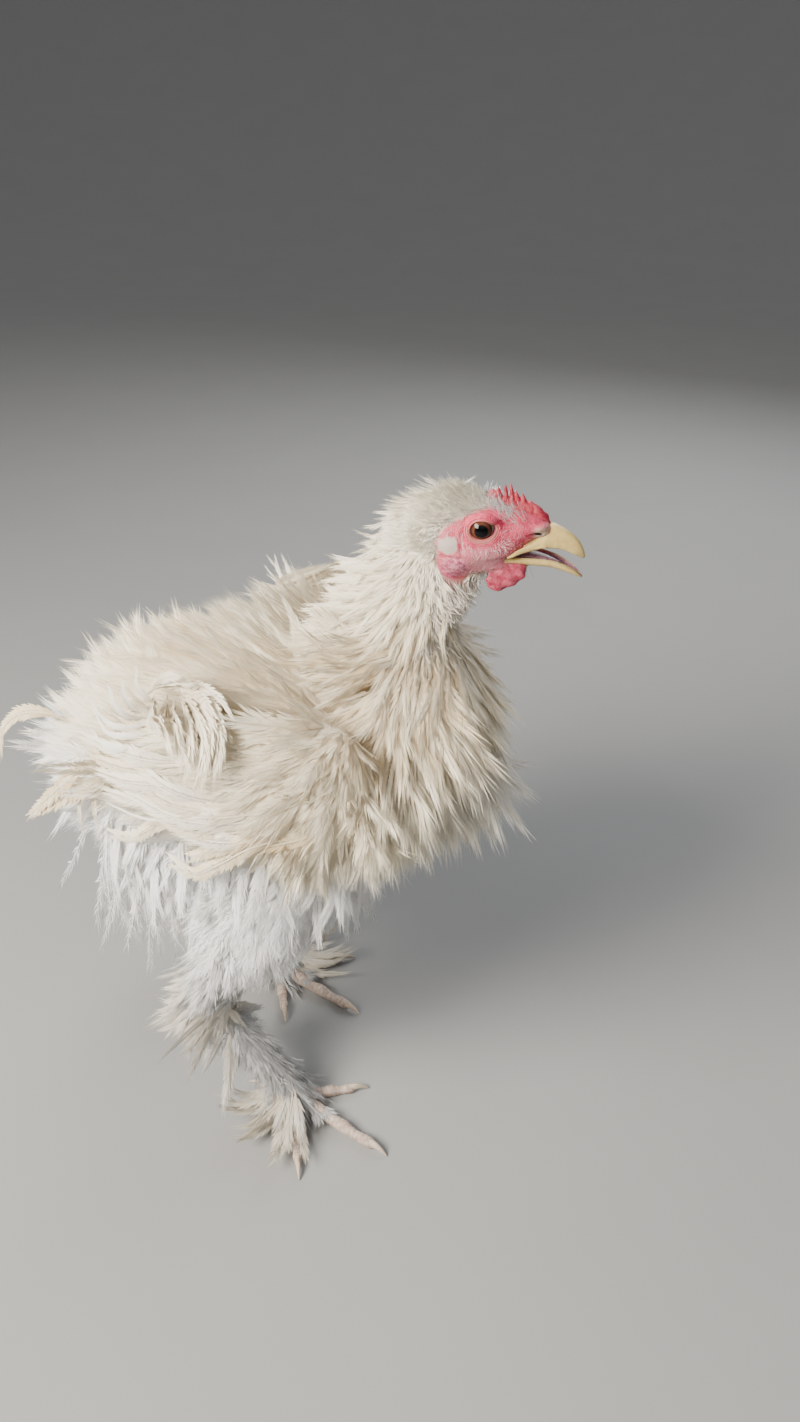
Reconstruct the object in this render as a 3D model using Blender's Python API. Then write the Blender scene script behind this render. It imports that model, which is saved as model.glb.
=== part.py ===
"""A white frizzle hen with feathered legs, standing with her bill open: a still, life-size model.

The hen faces +X with her left side at +Y, and stands on Z = 0.  Every sub-part is a closed solid with
the outline of the coat, out to the feather tips.  Bodies of feathers are lofts along a smooth path with
ruffled surfaces; the head is modelled in its own frame between the eyes.  Where two sub-parts meet, the
one named first keeps its shape and the other is carved to clear it by FIT_GAP.
"""

import math

import bmesh
import bpy
import numpy as np
from mathutils import Matrix, Vector

# Driving dimensions, in metres.
FIT_GAP = 0.0003
POLE_REACH = 0.6        # how far a loft's end point stands out, as a share of the end ring's half size
CLUMP_FADE = 2.2        # clumps shrink where a ring is thinner than the thickest one divided by this

# The head frame: its origin lies midway between the eyes, u forward, v left, w up.
HEAD_AT = Vector((0.1043, 0.0050, 0.3321))
HEAD_YAW = math.radians(17)

# Each foot's centre, the way its middle toe points, and the hock above it.
STANCE = {
    "right": {"side": -1, "foot": (0.026, -0.041), "heading": -12, "hock": (-0.012, -0.047, 0.066)},
    "left": {"side": 1, "foot": (-0.026, 0.041), "heading": -12, "hock": (-0.062, 0.046, 0.066)},
}
HIP = (0.020, 0.050, 0.168)
MEAN_HOCK_X = -0.037    # the two hocks' mean place, where the hips lie as stated
HIP_FOLLOWS = 0.3       # how far a hip moves with its own hock, as a share

# Toes: angle from the middle toe towards the outer side in degrees, length to the claw, and radius.
TOES = {
    "hallux": {"angle": 172, "length": 0.020, "radius": 0.0031},
    "inner": {"angle": -45, "length": 0.033, "radius": 0.0036},
    "middle": {"angle": 0, "length": 0.053, "radius": 0.0039},
    "outer": {"angle": 48, "length": 0.040, "radius": 0.0036},
}
CLAW_LENGTH = 0.011
PAD_RADIUS = 0.0088
PAD_HEIGHT = 0.0125

EYE_RADIUS = 0.0055
EYE_CENTRE_OUT = 0.0100

# Finishes: colour, roughness.
FINISHES = {
    "feather": ((0.86, 0.82, 0.74), 0.75),
    "flight_feather": ((0.90, 0.87, 0.80), 0.6),
    "bare_skin": ((0.72, 0.24, 0.26), 0.55),
    "comb": ((0.78, 0.20, 0.19), 0.5),
    "earlobe": ((0.80, 0.70, 0.66), 0.6),
    "horn": ((0.86, 0.68, 0.36), 0.4),
    "tongue": ((0.62, 0.42, 0.48), 0.45),
    "scales": ((0.70, 0.55, 0.45), 0.6),
    "claw": ((0.66, 0.56, 0.45), 0.45),
    "eye": ((0.08, 0.04, 0.02), 0.08),
}


# ------------------------------------------------------------------ making and carving solids

def clear_scene():
    for obj in list(bpy.data.objects):
        bpy.data.objects.remove(obj)


def finish(name):
    material = bpy.data.materials.get(name)
    if material is None:
        colour, roughness = FINISHES[name]
        material = bpy.data.materials.new(name)
        material.use_nodes = True
        shader = material.node_tree.nodes["Principled BSDF"]
        shader.inputs["Base Color"].default_value = (*colour, 1)
        shader.inputs["Roughness"].default_value = roughness
        shader.inputs["Metallic"].default_value = 0.0
        material.diffuse_color = (*colour, 1)
    return material


def solid(name, points, faces, material):
    """An object from points and faces, in triangles that face outwards and are shaded smooth.

    A bent face of four corners could be split either way, so a piece and its cutter would differ."""
    mesh = bpy.data.meshes.new(name)
    mesh.from_pydata([tuple(p) for p in points], [], faces)
    shape = bmesh.new()
    shape.from_mesh(mesh)
    bmesh.ops.triangulate(shape, faces=shape.faces)
    bmesh.ops.recalc_face_normals(shape, faces=shape.faces)
    shape.to_mesh(mesh)
    shape.free()
    mesh.shade_smooth()
    mesh.materials.append(finish(material))
    obj = bpy.data.objects.new(name, mesh)
    bpy.context.scene.collection.objects.link(obj)
    return obj


def resampled(stations, count):
    """Stations read again at even steps along a smooth curve through them."""
    rows = np.array(stations, float)
    steps = np.linalg.norm(np.diff(rows[:, :3], axis=0), axis=1)
    at = np.concatenate([[0], np.cumsum(steps)]) / steps.sum()
    slope = np.gradient(rows, at, axis=0)
    want = np.linspace(0, 1, count)
    k = np.clip(np.searchsorted(at, want, side="right") - 1, 0, len(at) - 2)
    span = (at[k + 1] - at[k])[:, None]
    t = (want - at[k])[:, None] / span
    read = (
        rows[k] * (1 + 2 * t) * (1 - t) ** 2
        + slope[k] * span * t * (1 - t) ** 2
        + rows[k + 1] * t * t * (3 - 2 * t)
        - slope[k + 1] * span * t * t * (1 - t)
    )
    read[:, 3:] = np.maximum(read[:, 3:], rows[:, 3:].min())
    return read


def ruffle(depth, lean=(0, 0, 0), seed=1, only=None):
    """Feather clumps in a brick pattern: every other point stands out by about depth and leans one way."""
    chance = np.random.default_rng(seed)

    def offset(ring, segment, outward):
        drawn = chance.uniform(0.35, 1.0)
        if (ring + segment) % 2 or (only and not only(outward)):
            return Vector((0, 0, 0))
        return (outward + Vector(lean)) * depth * drawn

    return offset


def loft(name, stations, across, rings, segments, material, clumps=None, section=None, level=False):
    """A closed tube through stations of (x, y, z, half size along across, half size square to it).

    Its rings stand square to the path, or lie level where that is asked for."""
    rows = resampled(stations, rings)
    path = rows[:, :3]
    tangents = np.gradient(path, axis=0)
    points, faces = [], []
    for ring, (row, tangent) in enumerate(zip(rows, tangents)):
        ahead = Vector((0, 0, -1)) if level else Vector(tangent).normalized()
        side = (Vector(across) - ahead * ahead.dot(Vector(across))).normalized()
        rise = ahead.cross(side)
        for segment in range(segments):
            turn = 2 * math.pi * segment / segments
            c, s = section(turn) if section else (math.cos(turn), math.sin(turn))
            reach = side * c * row[3] + rise * s * row[4]
            point = Vector(row[:3]) + reach
            if clumps and 0 < ring < rings - 1:
                fade = min(1, CLUMP_FADE * min(row[3:]) / max(rows[:, 3]))
                point += clumps(ring, segment, reach.normalized()) * fade
            points.append(point)
    for ring in range(rings - 1):
        for segment in range(segments):
            here, after = ring * segments + segment, ring * segments + (segment + 1) % segments
            faces.append((here, after, after + segments, here + segments))
    for ring, step in ((0, -1), (rings - 1, 1)):
        reach = Vector(tangents[ring]).normalized() * min(rows[ring][3:]) * POLE_REACH * step
        points.append(Vector(path[ring]) + reach)
        pole = len(points) - 1
        for segment in range(segments):
            start = ring * segments
            faces.append((start + segment, start + (segment + 1) % segments, pole))
    return solid(name, points, faces, material)


def ball(name, centre, radii, material, segments=20, rings=12):
    shape = bmesh.new()
    bmesh.ops.create_uvsphere(shape, u_segments=segments, v_segments=rings, radius=1)
    bmesh.ops.transform(shape, matrix=Matrix.Diagonal((*radii, 1)), verts=shape.verts)
    bmesh.ops.translate(shape, vec=centre, verts=shape.verts)
    points = [v.co.copy() for v in shape.verts]
    faces = [[v.index for v in face.verts] for face in shape.faces]
    shape.free()
    return solid(name, points, faces, material)


def in_head(obj):
    """Takes an object modelled in the head frame to its place on the bird."""
    obj.data.transform(Matrix.Translation(HEAD_AT) @ Matrix.Rotation(HEAD_YAW, 4, "Z"))
    return obj


def cutter_of(obj, clearance):
    """A hidden copy of obj as it was before any cut, larger by clearance all round."""
    grown = bpy.data.objects.new(obj.name + "_cutter", WHOLE.get(obj.name, obj.data).copy())
    shift = np.empty(len(grown.data.vertices) * 3, np.float32)
    grown.data.vertex_normals.foreach_get("vector", shift)
    points = np.empty(len(shift), np.float32)
    grown.data.vertices.foreach_get("co", points)
    grown.data.vertices.foreach_set("co", points + shift * clearance)
    grown.data.update()
    grown.hide_render = True
    grown.display_type = "WIRE"
    bpy.context.scene.collection.objects.link(grown)
    return grown


WHOLE = {}  # each carved object's mesh as it was before its first cut


def keep_largest(mesh):
    """Removes every crumb that a cut has left loose beside the main body."""
    shape = bmesh.new()
    shape.from_mesh(mesh)
    left, bodies = set(shape.faces), []
    while left:
        body, front = [], [left.pop()]
        while front:
            face = front.pop()
            body.append(face)
            near = {other for edge in face.edges for other in edge.link_faces} & left
            left -= near
            front += near
        bodies.append(body)
    bodies.sort(key=lambda body: sum(face.calc_area() for face in body))
    for crumb in bodies[:-1]:
        bmesh.ops.delete(shape, geom=crumb, context="FACES")
    shape.to_mesh(mesh)
    shape.free()


def carve(obj, *neighbours, clearance=FIT_GAP):
    """Cuts the neighbours out of obj, clear of them by the fit gap."""
    WHOLE.setdefault(obj.name, obj.data.copy())
    for neighbour in neighbours:
        cutter = cutter_of(neighbour, clearance)
        cut = obj.modifiers.new("cut", "BOOLEAN")
        cut.operation = "DIFFERENCE"
        cut.object = cutter
        cut.solver = "MANIFOLD"
        graph = bpy.context.evaluated_depsgraph_get()
        carved = bpy.data.meshes.new_from_object(obj.evaluated_get(graph))
        obj.modifiers.clear()
        obj.data = carved
        bpy.data.objects.remove(cutter)
    keep_largest(obj.data)
    return obj


# ------------------------------------------------------------------ the head and what it wears

def make_head():
    stations = [
        (-0.0300, 0, -0.0060, 0.0060, 0.0060),
        (-0.0270, 0, -0.0055, 0.0115, 0.0110),
        (-0.0210, 0, -0.0040, 0.0156, 0.0160),
        (-0.0130, 0, -0.0035, 0.0168, 0.0190),
        (-0.0060, 0, -0.0045, 0.0164, 0.0175),
        (0.0020, 0, -0.0062, 0.0155, 0.0142),
        (0.0090, 0, -0.0052, 0.0134, 0.0122),
        (0.0150, 0, -0.0040, 0.0110, 0.0094),
        (0.0210, 0, -0.0038, 0.0080, 0.0068),
        (0.0255, 0, -0.0045, 0.0058, 0.0044),
    ]
    on_crown = lambda outward: outward.z > 0.45
    crest = ruffle(0.0016, lean=(-0.4, 0, 0.3), seed=3, only=on_crown)
    return in_head(loft("head", stations, (0, 1, 0), 12, 16, "bare_skin", crest))


def make_upper_bill():
    stations = [
        (0.0200, 0, -0.0048, 0.0066, 0.0058),
        (0.0262, 0, -0.0056, 0.0058, 0.0050),
        (0.0315, 0, -0.0070, 0.0046, 0.0040),
        (0.0360, 0, -0.0094, 0.0033, 0.0031),
        (0.0393, 0, -0.0122, 0.0020, 0.0022),
        (0.0412, 0, -0.0146, 0.0008, 0.0009),
    ]

    def arched(turn):
        """Rounded over the culmen and drawn in to a nearly flat palate."""
        s = math.sin(turn)
        return math.cos(turn), s if s > 0 else 0.72 * s

    return in_head(loft("upper_bill", stations, (0, 1, 0), 9, 12, "horn", section=arched))


def make_lower_bill():
    stations = [
        (0.0090, 0, -0.0150, 0.0088, 0.0025),
        (0.0150, 0, -0.0152, 0.0080, 0.0027),
        (0.0220, 0, -0.0160, 0.0064, 0.0026),
        (0.0290, 0, -0.0174, 0.0047, 0.0022),
        (0.0355, 0, -0.0200, 0.0032, 0.0017),
        (0.0400, 0, -0.0226, 0.0016, 0.0010),
        (0.0412, 0, -0.0234, 0.0008, 0.0006),
    ]
    bill = in_head(loft("lower_bill", stations, (0, 1, 0), 8, 10, "horn"))
    hollow = [
        (0.0150, 0, -0.0126, 0.0062, 0.0028),
        (0.0220, 0, -0.0136, 0.0052, 0.0028),
        (0.0290, 0, -0.0153, 0.0037, 0.0023),
        (0.0355, 0, -0.0185, 0.0022, 0.0017),
        (0.0390, 0, -0.0208, 0.0011, 0.0010),
    ]
    trough = in_head(loft("bill_trough", hollow, (0, 1, 0), 7, 8, "tongue"))
    carve(bill, trough, clearance=0)
    bpy.data.objects.remove(trough)
    return bill


def make_tongue():
    stations = [
        (0.0130, 0, -0.0144, 0.0034, 0.0012),
        (0.0190, 0, -0.0152, 0.0036, 0.0013),
        (0.0250, 0, -0.0164, 0.0026, 0.0011),
        (0.0310, 0, -0.0182, 0.0013, 0.0007),
    ]
    return in_head(loft("tongue", stations, (0, 1, 0), 6, 8, "tongue"))


def make_comb():
    """A small single comb: a low front blade that rises to five thin points and a broad rear lobe."""
    points_of_comb = [
        (0.0282, -0.0015), (0.0269, 0.0002), (0.0239, 0.0038), (0.0206, 0.0073), (0.0167, 0.0097),
        (0.0158, 0.0082), (0.0133, 0.0107), (0.0126, 0.0082), (0.0109, 0.0140), (0.0099, 0.0088),
        (0.0088, 0.0136), (0.0079, 0.0088), (0.0066, 0.0126), (0.0033, 0.0120), (0.0020, 0.0092),
    ]
    foot_of_comb = [(0.0040, 0.0055), (0.0100, 0.0045), (0.0180, 0.0010), (0.0250, -0.0035)]
    outline = points_of_comb + foot_of_comb
    half_tip, half_root = 0.0009, 0.0021
    count, points = len(outline), []
    for side in (-1, 1):
        for index, (u, w) in enumerate(outline):
            half = half_tip if index < len(points_of_comb) else half_root
            points.append((u, side * half, w))
    faces = [list(range(count)), list(range(count, 2 * count))]
    for index in range(count):
        after = (index + 1) % count
        faces.append((index, after, count + after, count + index))
    return in_head(solid("comb", points, faces, "comb"))


def make_wattle(side, name):
    stations = [
        (0.0130, side * 0.0055, -0.0150, 0.0020, 0.0040),
        (0.0118, side * 0.0060, -0.0190, 0.0018, 0.0064),
        (0.0098, side * 0.0060, -0.0235, 0.0016, 0.0060),
        (0.0088, side * 0.0058, -0.0270, 0.0010, 0.0028),
    ]
    return in_head(loft(name, stations, (0, 1, 0), 7, 10, "comb", level=True))


def make_head_parts():
    head = make_head()
    eyes = [
        in_head(ball(f"eye_{name}", (0.0002, side * EYE_CENTRE_OUT, 0), [EYE_RADIUS] * 3, "eye", 12, 8))
        for name, side in (("right", -1), ("left", 1))
    ]
    upper, lower, tongue = make_upper_bill(), make_lower_bill(), make_tongue()
    carve(head, *eyes, upper, lower)
    carve(tongue, head)
    carve(lower, tongue)
    carve(make_comb(), head, upper)
    return head, lower


def make_lobes(head, lower_bill, neck):
    """The pale earlobes and the red wattles, on the head and clear of the neck's feathers."""
    for name, side in (("right", -1), ("left", 1)):
        centre, radii = (-0.0121, side * 0.0166, -0.0061), (0.0041, 0.0021, 0.0038)
        lobe = in_head(ball(f"earlobe_{name}", centre, radii, "earlobe", 10, 6))
        carve(lobe, head, neck)
        carve(make_wattle(side, f"wattle_{name}"), head, lower_bill, neck)


# ------------------------------------------------------------------ neck, trunk, wings and tail

def make_trunk():
    stations = [
        (0.1240, 0, 0.222, 0.012, 0.012),
        (0.1120, 0, 0.222, 0.040, 0.036),
        (0.0850, 0, 0.222, 0.064, 0.058),
        (0.0500, 0, 0.216, 0.078, 0.068),
        (0.0100, 0, 0.206, 0.082, 0.072),
        (-0.0300, 0, 0.193, 0.079, 0.070),
        (-0.0650, 0, 0.180, 0.068, 0.062),
        (-0.0900, 0, 0.172, 0.050, 0.046),
        (-0.1060, 0, 0.168, 0.026, 0.024),
    ]
    clumps = ruffle(0.0095, lean=(0.25, 0, -0.25), seed=11)
    return loft("trunk", stations, (0, 1, 0), 17, 18, "feather", clumps)


def make_neck():
    """The hunched neck, from under the head down to the breast and shoulders."""
    stations = [
        (0.0790, 0.0035, 0.333, 0.010, 0.012),
        (0.0790, 0.0035, 0.318, 0.016, 0.019),
        (0.0780, 0.0030, 0.303, 0.022, 0.026),
        (0.0725, 0.0020, 0.286, 0.031, 0.032),
        (0.0745, 0.0010, 0.270, 0.041, 0.044),
        (0.0730, 0, 0.250, 0.050, 0.049),
        (0.0680, 0, 0.225, 0.052, 0.048),
    ]
    clumps = ruffle(0.006, lean=(0, 0, -0.5), seed=7)
    return loft("neck", stations, (0, 1, 0), 12, 16, "feather", clumps, level=True)


def make_wing(side, name):
    stations = [
        (0.0860, side * 0.060, 0.256, 0.006, 0.010),
        (0.0770, side * 0.068, 0.252, 0.012, 0.024),
        (0.0520, side * 0.078, 0.243, 0.015, 0.034),
        (0.0180, side * 0.083, 0.233, 0.015, 0.037),
        (-0.0110, side * 0.082, 0.225, 0.013, 0.034),
        (-0.0330, side * 0.078, 0.219, 0.010, 0.024),
        (-0.0470, side * 0.074, 0.216, 0.005, 0.010),
    ]
    outside = lambda outward: outward.y * side > -0.2
    clumps = ruffle(0.0075, lean=(-0.5, 0, -0.3), seed=21 + side, only=outside)
    return loft(name, stations, (0, 1, 0), 13, 12, "flight_feather", clumps)


def make_tail():
    stations = [
        (-0.0780, 0, 0.190, 0.034, 0.034),
        (-0.0980, 0, 0.184, 0.038, 0.038),
        (-0.1140, 0, 0.174, 0.033, 0.036),
        (-0.1270, 0, 0.162, 0.022, 0.026),
        (-0.1350, 0, 0.153, 0.010, 0.012),
    ]
    clumps = ruffle(0.010, lean=(-0.9, 0, 0), seed=31)
    return loft("tail", stations, (0, 1, 0), 10, 14, "flight_feather", clumps)


def make_fluff():
    """The long soft feathers that hang below the tail and behind the thighs."""
    stations = [
        (-0.0500, 0, 0.150, 0.058, 0.030),
        (-0.0560, 0, 0.122, 0.054, 0.027),
        (-0.0570, 0, 0.096, 0.042, 0.021),
        (-0.0550, 0, 0.074, 0.020, 0.011),
    ]
    clumps = ruffle(0.008, lean=(0, 0, -0.8), seed=37)
    return loft("fluff", stations, (0, 1, 0), 7, 12, "feather", clumps, level=True)


# ------------------------------------------------------------------ legs and feet

def make_thigh(stance, name):
    """The feathered lower leg, from the flank down to the stiff tuft that hangs behind the hock."""
    side, hock = stance["side"], Vector(stance["hock"])
    hip = Vector((HIP[0] + (hock.x - MEAN_HOCK_X) * HIP_FOLLOWS, side * HIP[1], HIP[2]))
    knee = hip.lerp(hock, 0.35) + Vector((0.014, side * 0.006, 0))
    low = hip.lerp(hock, 0.75) + Vector((0.002, side * 0.003, 0))
    stations = [
        (*hip, 0.026, 0.036),
        (*knee, 0.034, 0.042),
        (*low, 0.029, 0.034),
        (hock.x + 0.001, hock.y, hock.z + 0.004, 0.021, 0.026),
        (hock.x + 0.006, hock.y, hock.z - 0.014, 0.011, 0.013),
    ]
    clumps = ruffle(0.008, lean=(-0.1, 0, -0.7), seed=41 + side)
    return loft(name, stations, (0, 1, 0), 10, 12, "feather", clumps, level=True)


def make_shank(stance, name):
    hock, (fx, fy) = Vector(stance["hock"]), stance["foot"]
    foot = Vector((fx - 0.001, fy, PAD_HEIGHT - 0.001))
    stations = [
        (*hock.lerp(foot, 0.05), 0.011, 0.012),
        (*(hock.lerp(foot, 0.35) + Vector((-0.004, stance["side"] * 0.003, 0))), 0.016, 0.017),
        (*(hock.lerp(foot, 0.62) + Vector((-0.004, stance["side"] * 0.004, 0))), 0.015, 0.014),
        (*hock.lerp(foot, 0.85), 0.0085, 0.0085),
        (*foot, 0.0045, 0.0045),
    ]
    clumps = ruffle(0.006, lean=(-0.3, stance["side"] * 0.3, -0.6), seed=51 + stance["side"])
    return loft(name, stations, (0, 1, 0), 8, 10, "feather", clumps, level=True)


def on_floor(obj):
    """Presses what dips below the floor flat on it."""
    for vertex in obj.data.vertices:
        vertex.co.z = max(vertex.co.z, 0)
    return obj


def make_toe(foot, bearing, toe, name):
    """A toe with three knuckles that lies flat along the floor, and its claw."""
    heading = Vector((math.cos(bearing), math.sin(bearing), 0))
    start, radius, length = Vector((*foot, 0)), toe["radius"], toe["length"]
    knuckles = ((0.12, 1.0), (0.3, 1.18), (0.45, 0.95), (0.6, 1.08), (0.75, 0.86), (0.9, 0.94), (1.0, 0.7))
    stations = []
    for share, size in knuckles:
        thick = radius * size
        climb = 0.0022 * (1 - share) ** 2
        at = start + heading * (length * share)
        stations.append((at.x, at.y, thick * 0.88 + climb, thick, thick))
    across = Vector((0, 0, 1)).cross(heading)
    return on_floor(loft(name, stations, across, 8, 6, "scales"))


def make_claw(foot, bearing, toe, name):
    heading = Vector((math.cos(bearing), math.sin(bearing), 0))
    start = Vector((*foot, 0)) + heading * (toe["length"] - 0.0015)
    radius = toe["radius"] * 0.62
    arc = ((0, 1.0, 0.0034), (0.3, 0.86, 0.0034), (0.65, 0.55, 0.0024), (1.0, 0.22, 0.0008))
    stations = []
    for share, size, lift in arc:
        at = start + heading * (CLAW_LENGTH * share)
        stations.append((at.x, at.y, lift, radius * size * 0.8, radius * size))
    across = Vector((0, 0, 1)).cross(heading)
    return on_floor(loft(name, stations, across, 5, 5, "claw"))


def make_foot_feathers(stance, name):
    """The spray of feathers on the outer side of the foot, between the outer toe and the hallux."""
    side, (fx, fy) = stance["side"], stance["foot"]
    bearing = math.radians(stance["heading"] + side * 92)
    out = Vector((math.cos(bearing), math.sin(bearing), 0))
    stations = []
    for reach, half_width, half_height, height in (
        (0.008, 0.006, 0.0035, 0.0125),
        (0.016, 0.012, 0.0055, 0.0115),
        (0.027, 0.015, 0.0048, 0.0085),
        (0.038, 0.011, 0.0034, 0.0055),
        (0.045, 0.004, 0.0018, 0.0040),
    ):
        stations.append((fx + out.x * reach, fy + out.y * reach, height, half_width, half_height))
    clumps = ruffle(0.003, lean=tuple(out * 0.8), seed=61 + side)
    spray = loft(name, stations, (1, 0, 0), 8, 10, "feather", clumps)
    for vertex in spray.data.vertices:
        vertex.co.z = max(vertex.co.z, FIT_GAP)
    return spray


def make_foot(stance, name):
    """The pad, four toes and four claws of one foot, clear of each other."""
    side, (fx, fy) = stance["side"], stance["foot"]
    pad_size = (PAD_RADIUS, PAD_RADIUS * 0.85, PAD_HEIGHT * 0.62)
    pad = on_floor(ball(f"foot_{name}", (fx, fy, PAD_HEIGHT * 0.42), pad_size, "scales", 10, 6))
    made = [pad]
    for kind, toe in TOES.items():
        bearing = math.radians(stance["heading"] + side * toe["angle"])
        claw = make_claw((fx, fy), bearing, toe, f"claw_{kind}_{name}")
        digit = make_toe((fx, fy), bearing, toe, f"toe_{kind}_{name}")
        carve(digit, claw, *made)
        made += [claw, digit]
    return made


def make_leg(stance, name, body):
    """Makes one leg below the body, and returns its thigh and shank."""
    thigh = carve(make_thigh(stance, f"thigh_{name}"), *body)
    foot = make_foot(stance, name)
    shank = carve(make_shank(stance, f"shank_{name}"), thigh, foot[0])
    carve(make_foot_feathers(stance, f"foot_feathers_{name}"), shank, *foot)
    return [thigh, shank]


# ------------------------------------------------------------------ the whole bird

def rest_on_origin():
    """Moves the bird so that the origin is the middle of its box's base."""
    nodes = [o for o in bpy.data.objects if not o.hide_render]
    corners = np.array([v.co for o in nodes for v in o.data.vertices])
    low, high = corners.min(axis=0), corners.max(axis=0)
    shift = Matrix.Translation((-(low[0] + high[0]) / 2, -(low[1] + high[1]) / 2, -low[2]))
    for node in nodes:
        node.data.transform(shift)


def main():
    clear_scene()
    head, lower_bill = make_head_parts()
    wings = [make_wing(-1, "wing_right"), make_wing(1, "wing_left")]
    trunk = carve(make_trunk(), *wings)
    neck = carve(make_neck(), head, trunk, *wings)
    make_lobes(head, lower_bill, neck)
    tail = carve(make_tail(), trunk, *wings)
    legs = []
    for name, stance in STANCE.items():
        legs += make_leg(stance, name, [trunk, *wings])
    carve(make_fluff(), trunk, tail, *legs)
    rest_on_origin()


main()
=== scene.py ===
"""The finish of a still, life-size white frizzle hen with feathered legs, standing with an open bill."""

import math

import bmesh
import bpy
import numpy as np
from mathutils import Matrix, Vector
from mathutils.bvhtree import BVHTree


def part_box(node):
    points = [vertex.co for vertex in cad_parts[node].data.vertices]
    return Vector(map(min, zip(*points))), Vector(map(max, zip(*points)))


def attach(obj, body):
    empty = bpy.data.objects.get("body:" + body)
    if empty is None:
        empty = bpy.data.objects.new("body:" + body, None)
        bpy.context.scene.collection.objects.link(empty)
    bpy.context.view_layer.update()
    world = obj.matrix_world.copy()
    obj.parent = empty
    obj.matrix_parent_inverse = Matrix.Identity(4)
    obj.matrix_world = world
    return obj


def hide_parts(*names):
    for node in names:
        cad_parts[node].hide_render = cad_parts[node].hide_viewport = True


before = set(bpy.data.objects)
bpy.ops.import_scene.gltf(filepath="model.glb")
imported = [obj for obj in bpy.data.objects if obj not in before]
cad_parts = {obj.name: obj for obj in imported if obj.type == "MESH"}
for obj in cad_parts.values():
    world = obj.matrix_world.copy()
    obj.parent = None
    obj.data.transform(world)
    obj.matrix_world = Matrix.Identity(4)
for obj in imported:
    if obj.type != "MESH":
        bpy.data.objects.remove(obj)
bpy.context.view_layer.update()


# ================================================================== the floor, the light and the camera
# The bird stands on a plain pale floor in soft studio light. Places on the bird are given from the point on
# the floor midway between the feet, with +X forward and +Y to the bird's left. The right foot shows where
# that point is.

RIGHT_FOOT_AT = Vector((0.026, -0.041, 0))
foot_low, foot_high = (Vector(corner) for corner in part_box("foot_right"))
STAND = (foot_low + foot_high) / 2 - RIGHT_FOOT_AT
STAND.z = 0

CAMERA_AT = Vector((0.2192, -0.3641, 0.48))
CAMERA_TURN = math.radians(22)
CAMERA_DOWN = math.radians(31.6)
LENS_MM = 26.2

camera = bpy.data.objects.new("camera", bpy.data.cameras.new("camera"))
camera.data.lens = LENS_MM
camera.data.sensor_width = 36
camera.data.clip_start = 0.01
camera.location = CAMERA_AT + STAND
camera.rotation_euler = (math.pi / 2 - CAMERA_DOWN, 0, CAMERA_TURN)
bpy.context.scene.collection.objects.link(camera)
bpy.context.scene.camera = camera


def lamp(name, at, size, watts, colour):
    """A square soft light that faces the bird's chest."""
    light = bpy.data.lights.new(name, "AREA")
    light.size, light.energy, light.color = size, watts, colour
    obj = bpy.data.objects.new(name, light)
    obj.location = Vector(at) + STAND
    obj.rotation_euler = (Vector((0.02, 0, 0.18)) - Vector(at)).to_track_quat("-Z", "Y").to_euler()
    bpy.context.scene.collection.objects.link(obj)


lamp("key", (-0.37, -0.74, 0.80), 0.5, 34, (1.0, 0.95, 0.87))
lamp("sky", (0.70, -0.80, 1.10), 1.2, 1.8, (0.93, 0.96, 1.0))
lamp("rim", (0.1, 1.1, 0.9), 0.8, 10, (0.95, 0.97, 1.0))

world = bpy.data.worlds.new("studio")
bpy.context.scene.world = world
world.use_nodes = True
world.node_tree.nodes["Background"].inputs["Color"].default_value = (0.93, 0.96, 1.0, 1)
world.node_tree.nodes["Background"].inputs["Strength"].default_value = 0.38


class Wire:
    """An output of a node, which adds Math nodes where it stands in a sum."""

    def __init__(self, finish, socket):
        self.finish, self.socket = finish, socket

    def math(self, operation, *terms):
        return self.finish.math_of(operation, *terms)

    def __add__(self, other):
        return self.math("ADD", self, other)

    def __sub__(self, other):
        return self.math("SUBTRACT", self, other)

    def __rsub__(self, other):
        return self.math("SUBTRACT", other, self)

    def __mul__(self, other):
        return self.math("MULTIPLY", self, other)

    __radd__, __rmul__ = __add__, __mul__


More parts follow.
